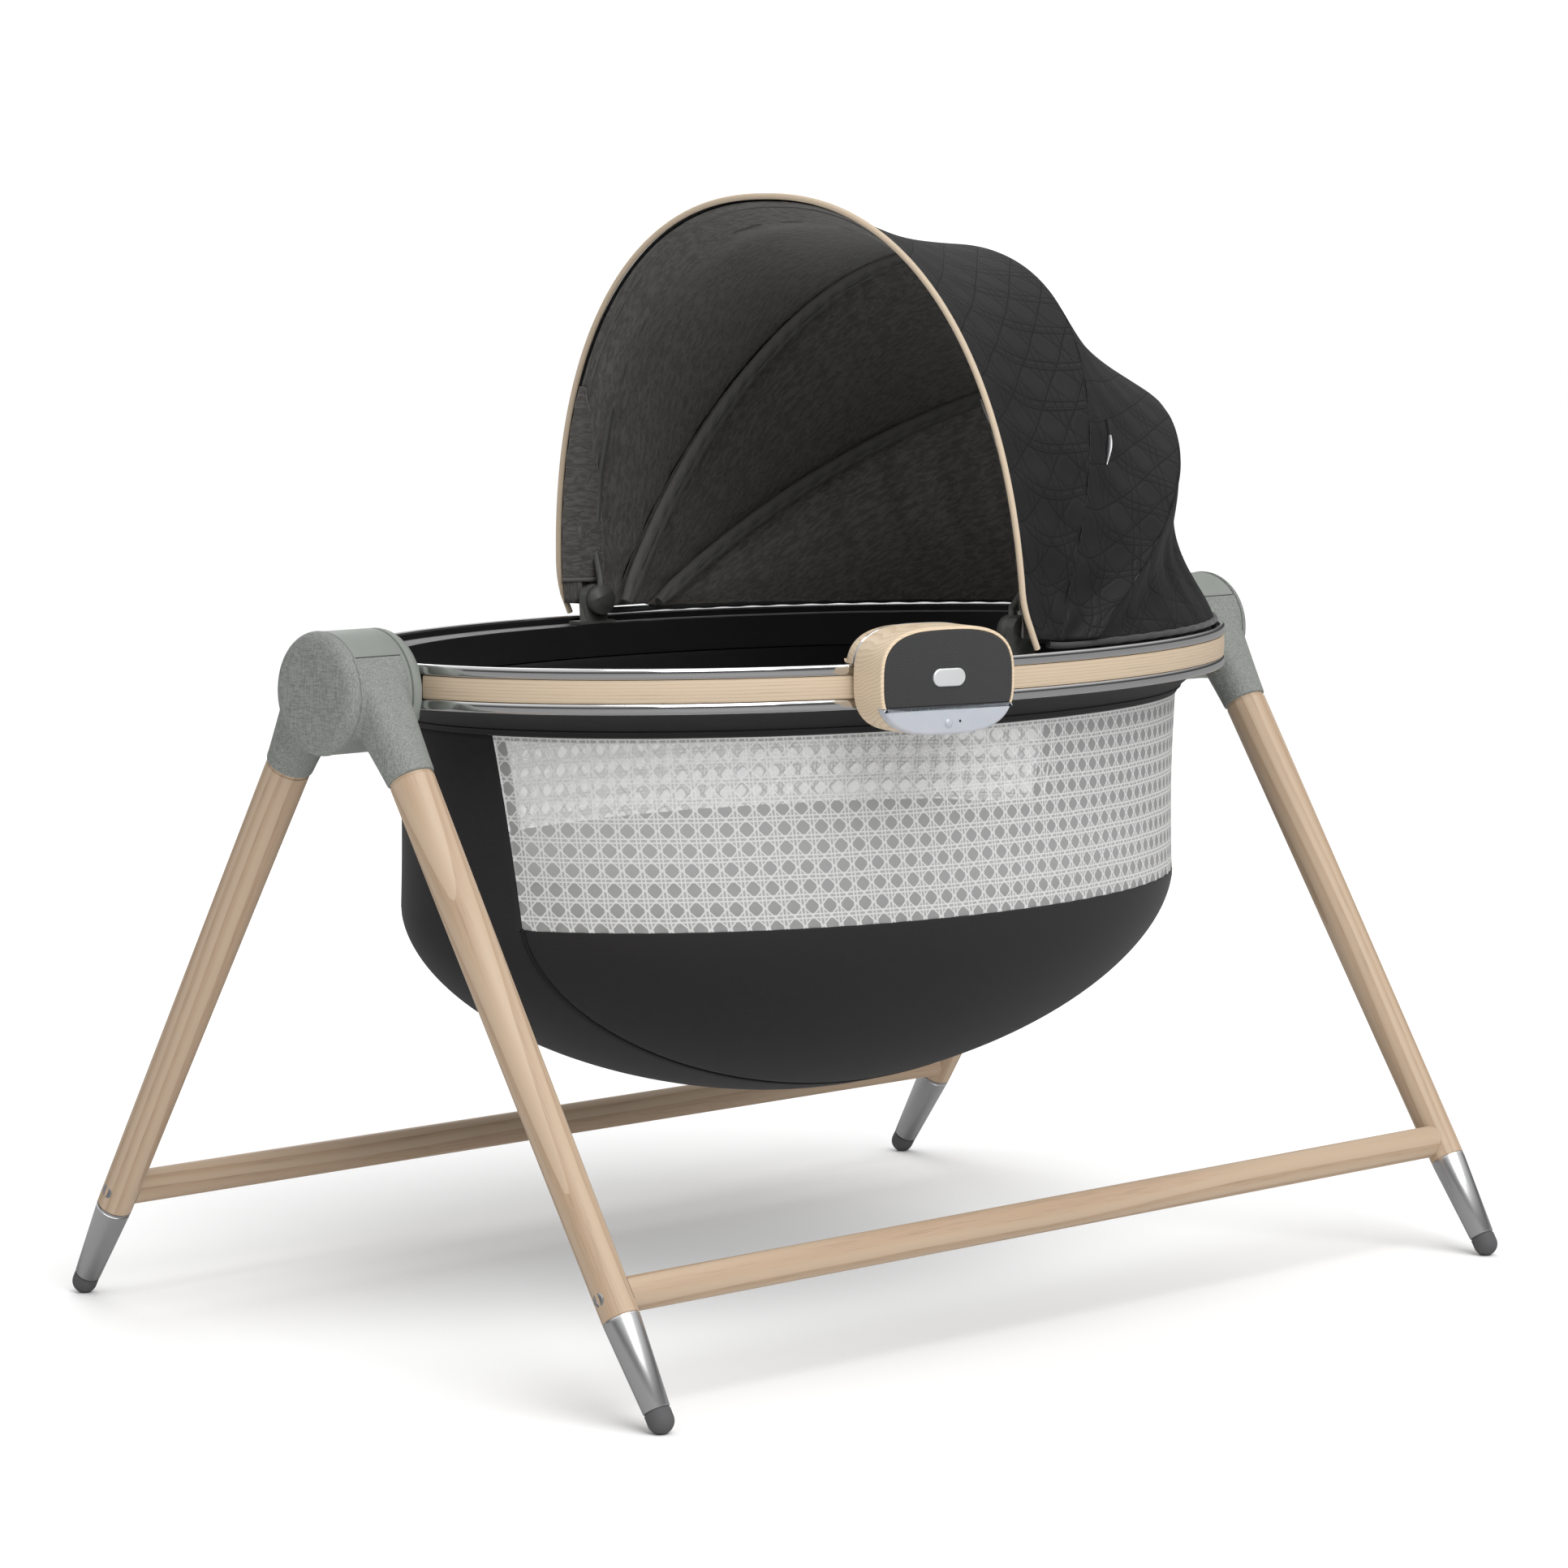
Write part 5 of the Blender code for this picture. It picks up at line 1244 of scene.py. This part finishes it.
def canopy_grid(rows, columns):
    share = np.linspace(0, 1, rows)[:, None] + np.zeros((1, columns))
    turn = np.linspace(0, 1, columns)[None, :] + np.zeros((rows, 1))
    return share, turn


def facing_canopy(data, outwards=True):
    return facing(data, Vector(CANOPY_MIDDLE.tolist()), outwards)


def show_cloth(name, points, replaced=(), body=None):
    """A canopy panel's shell, or its lining when it replaces nothing."""
    data = facing_canopy(grid_mesh(name, points, uv=cloth_uv(points)), bool(replaced))
    # The rear panel gets the lighter copy of the lining, which is painted light.
    lining = REAR_LINING_LIT if body else LINING
    piece = show(name, data, SHELL if replaced else lining, body, replaced, 80,
                 0.0010 if replaced else 0.0006)
    declare(points)
    return piece


def blend_between(piece):
    """Bakes the piece's placement into its mesh; it does not bend the cloth between the bows."""
    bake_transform(piece)


def dress_canopy():
    share, turn = canopy_grid(60, 300)
    front_share = 0.016 + 0.979 * share
    outer = panel_points(FRONT_EDGE, MIDDLE_EDGE, front_share, turn, 0.012, 0.0)
    swept = foot_flare(outer)
    outer = outer + (swept - outer) * (1 - front_share)[..., None]
    outer = foot_flare(outer, 0.0, 0.010)
    piece = show_cloth("canopy_shell_front", outer, ["canopy_panel_front"])
    blend_between(piece)
    inner = panel_points(FRONT_EDGE, MIDDLE_EDGE, front_share, turn, 0.012,
                         lining_depth(front_share))
    piece = show_cloth("canopy_lining_front", inner)
    blend_between(piece)
    middle_share = 0.004 + 0.992 * share
    outer = foot_flare(panel_points(MIDDLE_EDGE, REAR_EDGE, middle_share, turn, 0.014, 0.0), 0.0,
                       0.010)
    piece = show_cloth("canopy_shell_middle", outer, ["canopy_panel_middle"])
    blend_between(piece)
    inner = panel_points(MIDDLE_EDGE, REAR_EDGE, middle_share, turn, 0.016, 0.0040 + 0 * share)
    piece = show_cloth("canopy_lining_middle", inner)
    blend_between(piece)
    rear_panel()
    dress_bows()


def lining_depth(share):
    """The lining leaves the piping, passes inside the front bow and comes back to the shell."""
    return 0.0035 + 0.0085 * np.exp(-((share - 0.17) / 0.10) ** 2)


def rear_points(share, turn, depth, sag=0.034):
    """Cloth from the rear arc down to the rim's head end: it hangs in, then flares to the hem
    in upright gathers."""
    p = arc_across(REAR_EDGE, turn, 0.0, REAR_EDGE["root"][1] + 0.0008)
    sweep = HEM_SWEEP * (1 - 2 * turn)
    q = np.stack([HEM_A * np.cos(sweep), HEM_B * np.sin(sweep), HEM_Z + 0 * sweep], -1)
    points = p + (q - p) * share[..., None]
    away = np.stack([np.cos(sweep), np.sin(sweep), 0 * sweep], -1)
    middle = np.sin(pi * turn)
    folds = 0.0034 * np.sin(turn * 2 * pi * 15 + 0.8 * np.sin(share * 4)) * np.sin(pi * share) ** 0.8
    folds += 0.0014 * np.sin(turn * 2 * pi * 34 + 1.7) * share * (1 - share) * 3
    out = folds * middle - sag * np.sin(pi * share) ** 1.5 * middle - depth
    return points + away * out[..., None]


def rear_panel():
    share, turn = canopy_grid(70, 320)
    share = 0.006 + 0.994 * share
    outer = rear_points(share, turn, 0.0)
    show_cloth("canopy_shell_rear", outer, ["canopy_panel_rear"], "basket")
    inner = rear_points(share, turn, 0.0045 * np.sin(pi * turn) + 0.001)
    show_cloth("canopy_lining_rear", inner, (), "basket")


def sleeve_points(arc, width=0.0095, count=260, sides=20):
    """A folded sleeve round a bow: a flattened tube with a fold along its middle and twisted
    wrinkles beside it."""
    turn = np.linspace(0.004, 0.996, count)
    route = arc_across(arc, turn, 0.0, 0.646)
    ahead = np.gradient(route, axis=0)
    ahead /= np.linalg.norm(ahead, axis=1, keepdims=True)
    drop = inward(route)
    across = np.cross(ahead, drop)
    across /= np.linalg.norm(across, axis=1, keepdims=True)
    drop = np.cross(across, ahead)
    a = np.linspace(0, 2 * pi, sides, endpoint=False)
    taper = np.minimum(1, 0.55 + 6 * np.sin(pi * turn))[:, None]
    ripple = 0.0010 * np.sin(turn[:, None] * 2 * pi * 46 + 3.0 * np.cos(a)[None, :]) * np.clip(np.sin(a), 0, 1)
    crease = -0.0016 * np.exp(-(np.cos(a) / 0.18) ** 2) * (np.sin(a) > 0)
    low = (0.0052 + ripple * 1.0 + crease)
    points = (route[:, None] + across[:, None] * (width * taper * np.cos(a))[..., None]
              + drop[:, None] * (low * np.sin(a))[..., None])
    return points


def dress_bows():
    for arc, body, tag in ((MIDDLE_BOW, "middle_bow", "middle"), (REAR_BOW, "basket", "rear")):
        width = 0.0095 if tag == "middle" else 0.0080
        data = flipped(grid_mesh("sleeve", sleeve_points(arc, width), wrap_columns=True, caps=True))
        show("bow_sleeve_" + tag, data, SLEEVE, body, (), 80)
    turn = np.linspace(0, 1, 200)
    route = arc_across(FRONT_EDGE, turn, 0.0, FRONT_EDGE["root"][1])
    drop = np.array([[0.0, 0.0, -0.0095], [0.0, 0.0, -0.0048]])
    route = foot_flare(np.concatenate([route[0] + drop, route, (route[-1] + drop)[::-1]], 0))
    data = flipped(tube(route, 0.0030, 20, twist=(1, 0, 0)))
    show("edge_piping", data, PIPING, "front_bow", ["canopy_piping"], 60)
    stitch = 0.055 + 0 * turn
    seam = panel_points(FRONT_EDGE, MIDDLE_EDGE, stitch, 0.02 + 0.96 * turn, 0.012,
                        lining_depth(stitch) + 0.0007)
    show("piping_seam", flipped(tube(seam, 0.0007, 8, twist=(1, 0, 0))), SLEEVE, "front_bow")
    front_patches()
    hem_tube()
    pull_tab()
    for node in ("canopy_bow_front", "canopy_bow_middle", "canopy_bow_rear", "canopy_post_front",
                 "canopy_post_rear"):
        body = next(b for b, o in frame["bodies"].items() if o is frame["nodes"][node].parent)
        show(node + "_moulding", welded(node), BOW_GREY, body, [node], 35)
    pivot_screws()


def front_patches():
    """A pocket of lining at each foot of the front bow, closed below by a folded hem."""
    for front, name in FRONTS:
        low_turn, high_turn = (0.0, 0.16) if front > 0 else (1.0, 0.84)
        t = np.linspace(0, 1, 50)[:, None]
        w = np.linspace(0, 1, 24)[None, :]
        turn = low_turn + (high_turn - low_turn) * t + 0 * w
        edge = arc_across(FRONT_EDGE, turn, -0.005, 0.675)
        bow = arc_across(FRONT_BOW, turn, -0.006, 0.675)
        back = bow + np.array([0.007, 0, 0])
        narrow = 1 - 0.85 * t ** 2
        points = edge + (back - edge) * (w * narrow)[..., None]
        points[..., 1] += -front * (0.004 * np.sin(pi * w) + 0.0006 * np.sin(t * 40 + w * 5))
        uv = cloth_uv(points)
        data = grid_mesh("patch", points, uv=uv)
        pocket = show("bow_pocket_" + name, facing_canopy(data, False), LINING, "front_bow",
                      (), 80, 0.0012)
        declare(points)
        show("pocket_hem_" + name, flipped(tube(points[0], 0.0022, 10)), SLEEVE, "front_bow")


def hem_tube():
    """The folded lower edge of the canopy, from one post round the head end to the other."""
    s = np.linspace(0, 1, 260)
    sweep = HEM_SWEEP * (1 - 2 * s)
    route = np.stack([HEM_A * np.cos(sweep), HEM_B * np.sin(sweep), HEM_Z + 0.0005 + 0 * sweep], -1)
    lead = np.array([[0.018, 0.3190, 0.6425], [0.030, 0.3200, 0.6410], [0.045, 0.3200, 0.6405],
                     [0.070, 0.3185, 0.6405]])
    back = lead[::-1] * np.array([1, -1, 1])
    route = np.concatenate([lead, route, back], 0)
    radius = 0.0031 + 0.0003 * np.sin(np.arange(len(route)) * 0.9)
    show("canopy_hem", flipped(tube(route, radius, 14)), SHELL_EDGE, "basket", (),
         80)


def pull_tab():
    """A small ring pull on a cloth loop, sewn to the outside over the rear bow."""
    t = np.linspace(0, 1, 30)
    route = arc_across(MIDDLE_EDGE, 0.825 + 0.042 * t, 0.0014)
    route[:, 0] += 0.022
    route[:, 1] -= 0.0030 * np.sin(pi * t)
    loop = tube(route[:13], 0.0024, 12, flat=0.6, twist=(1, 0, 0))
    slider = tube(route[11:], 0.0016 + 0.0026 * np.sin(pi * t[11:] ** 1.3) ** 2, 12, flat=0.5,
                  twist=(1, 0, 0))
    show("pull_loop", flipped(loop), LINER_KNIT, "middle_bow")
    show("pull_slider", flipped(slider), PULL_STEEL, "middle_bow")


def pivot_screws():
    """A bright cross-head screw in the inner face of each pivot disc."""
    reach = [abs(v.co.y) for v in frame["nodes"]["canopy_bow_front"].data.vertices
             if abs(v.co.x) < 0.012 and abs(v.co.z - PIN_Z) < 0.012]
    face = min(reach)
    for front, name in FRONTS:
        head = [(0, 0.0006), (0.0020, 0.0006), (0.0024, 0.0014), (0.0036, 0.0012), (0.0044, 0.0),
                (0.0044, -0.0012), (0, -0.0012)]
        at = Vector((0, front * face, PIN_Z))
        data = flipped(turned(head, along(at, at - Vector((0, front, 0))), 32))
        show("pivot_screw_" + name, data, ZINC, "front_bow")


# ---------------------------------------------------------------- control unit
def unit_frame():
    """Local X along the rim, Y upwards and Z straight out from the rim."""
    y = -RIM_B * sqrt(1 - (UNIT_X / RIM_A) ** 2)
    out = Vector((UNIT_X / RIM_A ** 2, y / RIM_B ** 2, 0)).normalized()
    up = Vector((0, 0, 1))
    turn = Matrix((up.cross(out), up, out)).transposed().to_4x4()
    return Matrix.Translation((UNIT_X, y, 0)) @ turn


def unit_outline(shrink=0.0, low=None, high=None, count=160):
    """A superellipse about (0, UNIT_Z), clipped between two heights."""
    a = np.linspace(0, 2 * pi, count, endpoint=False)
    power = 2 / UNIT_POWER
    x = (UNIT_HALF[0] - shrink) * np.sign(np.cos(a)) * np.abs(np.cos(a)) ** power
    z = UNIT_Z + (UNIT_HALF[1] - shrink) * np.sign(np.sin(a)) * np.abs(np.sin(a)) ** power
    points = np.stack([x, z], -1)
    if low is None and high is None:
        return points
    kept = []
    for p, q in zip(points, np.roll(points, -1, 0)):
        crossings = []
        for level in (low, high):
            if level is not None and (p[1] - level) * (q[1] - level) < 0:
                crossings.append(p + (q - p) * (level - p[1]) / (q[1] - p[1]))
        kept += crossings
        if (low is None or q[1] > low) and (high is None or q[1] < high):
            kept.append(q)
    return np.array(kept)


def prism(outline, levels, place):
    """A closed solid: the outline at a list of (inset, depth) levels, capped at both ends.
    Each point moves in along the outline's own normal."""
    ahead = np.roll(outline, -1, 0) - np.roll(outline, 1, 0)
    ahead /= np.maximum(np.linalg.norm(ahead, axis=1, keepdims=True), 1e-9)
    normal = np.stack([ahead[:, 1], -ahead[:, 0]], -1)
    rows = []
    for inset, depth in levels:
        flat = outline - normal * inset
        rows.append(np.concatenate([flat, np.full((len(flat), 1), depth)], 1))
    turn = np.array(place.to_3x3())
    points = np.array(rows) @ turn.T + np.array(place.translation)
    return flipped(grid_mesh("prism", points, wrap_columns=True, caps=True))


def rounded_levels(start, end, radius, steps=5):
    """Levels of a prism from back to front, with the front edge rounded."""
    a = np.linspace(0, pi / 2, steps)
    levels = [(0.0004, start), (0.0, start + 0.0004)]
    levels += [(radius * (1 - cos(x)), end - radius * (1 - sin(x))) for x in a]
    return levels


def cut(data, *cutters):
    """The mesh less each cutter."""
    tools = []
    for cutter in cutters:
        tool = bpy.data.objects.new("cutter", cutter)
        bpy.context.scene.collection.objects.link(tool)
        tools.append(tool)
    steps = [("BOOLEAN",
              dict(operation="DIFFERENCE", object=tool, solver="EXACT")) for tool in tools]
    result = evaluated("cut", data, *steps)
    for tool in tools:
        bpy.data.objects.remove(tool)
    return result


def dress_unit():
    place = unit_frame()
    face = GRILLE_BACK
    levels = rounded_levels(UNIT_BACK, UNIT_FACE - 0.0004, 0.0022)
    levels += [(0.0030, UNIT_FACE - 0.0004), (0.0033, UNIT_FACE - 0.0012), (0.0033, face - 0.001)]
    shell = prism(unit_outline(), levels, place)
    notch = prism(unit_outline(-0.004, None, LIGHT_SPLIT_Z + 0.0004), [(0, LIGHT_BACK - 0.0003),
                                                                      (0, UNIT_FACE + 0.01)], place)
    show("unit_front_shell", cut(shell, notch), UNIT_WOOD, "basket",
         ["control_front_housing"], 35)
    grille = prism(unit_outline(0.0036, LIGHT_SPLIT_Z + 0.0006), [
        (0.0, face - 0.0005), (0.0, UNIT_FACE - 0.0006), (0.0003, UNIT_FACE - 0.0002),
        (0.0010, UNIT_FACE)], place)
    show("grille_cloth", grille, GRILLE, "basket", ["speaker_grille"], 40)
    light = prism(unit_outline(0.0003, None, LIGHT_SPLIT_Z),
                  rounded_levels(LIGHT_BACK, UNIT_FACE, 0.0030), place)
    show("night_light_band", light, DIFFUSER, "basket", ["night_light_diffuser"], 40)
    a = np.linspace(-pi / 2, pi / 2, 20)
    half, radius = 0.0175, 0.0082
    right = np.stack([half - radius + radius * np.cos(a), radius * np.sin(a)], -1)
    pill = np.concatenate([right, -right], 0) + np.array([0, UNIT_Z + 0.003])
    plate = prism(pill, [(0, UNIT_FACE), (0, UNIT_FACE + 0.0008), (0.0004, UNIT_FACE + 0.0014),
                         (0.0012, UNIT_FACE + 0.0016)], place)
    show("blank_plate", plate, SATIN_PLATE, "basket", ["badge_plate"], 50)
    lens_at = place @ Matrix.Translation((0, UNIT_Z - UNIT_HALF[1] + 0.0105, UNIT_FACE - 0.0042))
    dome = [(0, 0.0062)] + [(0.0062 * sin(x), 0.0062 * cos(x)) for x in np.linspace(0.1, pi / 2,
                                                                                    14)]
    show("sensor_dome", flipped(turned(dome + [(0, 0)], lens_at, 40)), LENS, "basket",
         ["motion_sensor_lens"])
    dot_at = place @ Matrix.Translation((0.0125, UNIT_Z - UNIT_HALF[1] + 0.0120,
                                         UNIT_FACE - 0.0006))
    dot = flipped(turned([(0, 0.0009), (0.0010, 0.0009), (0.0014, 0.0004), (0.0014, 0), (0, 0)],
                         dot_at, 24))
    show("light_sensor_dot", dot, FRAME_BLACK, "basket")
    rear_shell(place)


def rear_shell(place):
    """The saddle over the rim, the bright line along its parting, and flush touch marks."""
    above = UPPER_RING[1].z + 0.0003
    depth = SADDLE_DEPTH
    outline = unit_outline(0.0012, above, None)
    levels = [(0.004, -depth), (0.0018, -depth + 0.0008), (0.0005, -depth + 0.0026),
              (0.0, -depth + 0.005),
              (0.0, -0.0008)]
    saddle = prism(outline, levels, place)
    low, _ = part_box("control_rear_housing")
    lip_low = Vector((-0.035, low.z, -depth))
    lip_high = Vector((0.035, above + 0.004, -depth + 0.004))
    lip = [(lip_low.x, lip_low.y), (lip_high.x, lip_low.y), (lip_high.x, lip_high.y),
           (lip_low.x, lip_high.y)]
    hook = prism(rounded(lip, 0.004, 5), [(0, lip_low.z), (0, lip_high.z)], place)
    data = evaluated("saddle", saddle)
    show("unit_saddle", joined("saddle", [data, hook]), UNIT_WOOD, "basket",
         ["control_rear_housing"], 40)
    outer = unit_outline(-0.0002, above, None)
    trim = prism(outer, [(0.0004, -0.0009), (0, -0.0005), (0, 0.0014), (0.0004, 0.0018)], place)
    show("unit_trim_line", trim, CHROME, "basket", (), 40)
    marks = []
    for i in (-1, 0, 1):
        at = place @ Matrix.Translation((i * 0.021, UNIT_Z + UNIT_HALF[1] - 0.00115 - abs(i) * 0.0006, 0.024)) \
            @ Matrix.Rotation(-pi / 2, 4, "X")
        marks.append(turned([(0.0024, 0.0012), (0.0029, 0.0012), (0.0029, 0.0), (0.0024, 0.0)], at,
                            32))
    show("touch_marks", flipped(joined("marks", marks)), SATIN_PLATE, "basket")


# ---------------------------------------------------------------- hidden parts
def dress_hidden():
    """Parts inside keep their own shape and get their finish; the lower frame is made black so that the
    windows' lowest row, seen in front of it, looks darker: painted shade.
    """
    for nodes, material in ((("bearing_left", "bearing_right", "drive_motor"), ZINC),
                            # Painted shade: the lower frame is black to darken the lowest row of the windows
                            # over it.
                            (("speaker_driver", "lower_frame"), FRAME_BLACK)):
        for node in nodes:
            data = frame["nodes"][node].data
            data.materials.clear()
            data.materials.append(material)


# ---------------------------------------------------------------- stage
def stage():
    """A pale flat floor, soft lights and the camera."""
    size = 40.0
    data = bpy.data.meshes.new("floor")
    data.from_pydata([(-size, -size, 0), (size, -size, 0), (size, size, 0), (-size, size, 0)], [],
                     [(0, 1, 2, 3)])
    floor = bpy.data.objects.new("floor", data)
    bpy.context.scene.collection.objects.link(floor)
    pale, t, into = finish("pale_floor", 0.75, Specular_IOR_Level=0.2)
    white = t.mix(t.noise(place_of(t), 1.5, 2.0, 0.5), (0.96, 0.96, 0.96), (0.975, 0.975, 0.975))
    mirrored = t.add("ShaderNodeLightPath").outputs["Is Glossy Ray"]
    t.tree.links.new(t.mix(mirrored, white, (0.26, 0.26, 0.26)), into["Base Color"])
    data.materials.append(pale)
    world = bpy.data.worlds.new("studio")
    world.use_nodes = True
    bpy.context.scene.world = world
    t = Tree(world.node_tree)
    background = world.node_tree.nodes["Background"]
    way = t.add("ShaderNodeTexCoord").outputs["Generated"]
    _, _, z = t.add("ShaderNodeSeparateXYZ", {0: way}).outputs
    sky = t.ramp(t.math("MULTIPLY_ADD", z, 0.5, 0.5),
                 [(0.0, 0.90), (0.47, 0.60), (0.50, 0.06), (0.57, 0.14),
                                                      (0.68, 0.60), (0.80, 1.00), (1.0, 1.15)])
    seen = t.add("ShaderNodeLightPath").outputs["Is Camera Ray"]
    t.tree.links.new(t.mix(seen, sky, (1.7, 1.7, 1.7)), background.inputs["Color"])
    background.inputs["Strength"].default_value = 0.72
    sun = bpy.data.lights.new("window_light", "SUN")
    sun.energy = 1.75
    sun.angle = radians(50)
    holder = bpy.data.objects.new("window_light", sun)
    holder.rotation_euler = Vector((0.08, 0.60, -0.78)).to_track_quat("-Z", "Y").to_euler()
    bpy.context.scene.collection.objects.link(holder)
    for name, place, size, power in (("key", (-1.6, -4.0, 2.6), 2.2, 38.0),
                                     ("back", (1.5, 3.6, 2.8), 2.6, 45.0)):
        lamp = bpy.data.lights.new(name, "AREA")
        lamp.size = size
        lamp.energy = power
        holder = bpy.data.objects.new(name, lamp)
        holder.location = place
        holder.rotation_euler = (Vector((0, 0, 0.5)) - Vector(place)).to_track_quat("-Z",
                                                                                    "Y").to_euler()
        bpy.context.scene.collection.objects.link(holder)
    view = bpy.data.cameras.new("camera")
    view.lens = 118.45
    view.sensor_width = 36.0
    view.clip_end = 60.0
    camera = bpy.data.objects.new("camera", view)
    camera.location = (-3.5035, -3.6241, 1.0238)
    aim = Vector((-0.0189, 0.0, 0.4896)) - camera.location
    camera.rotation_euler = aim.to_track_quat("-Z", "Y").to_euler()
    bpy.context.scene.collection.objects.link(camera)
    bpy.context.scene.camera = camera
    bpy.context.scene.view_settings.view_transform = "Standard"


SHELL_EDGE = knit("shell_edge", (0.030, 0.030, 0.031), 0.75, 0.0012, 0.0001)

for front, front_name in FRONTS:
    for side, side_name in SIDES:
        dress_leg(side, front, f"{front_name}_{side_name}")
        dress_socket(side, front, f"{front_name}_{side_name}")
    dress_rail(front, front_name)
    dress_window(front, front_name)
for side, side_name in SIDES:
    dress_hub(side, side_name)
dress_rim()
dress_cover()
dress_bed()
dress_canopy()
dress_unit()
dress_hidden()
stage()
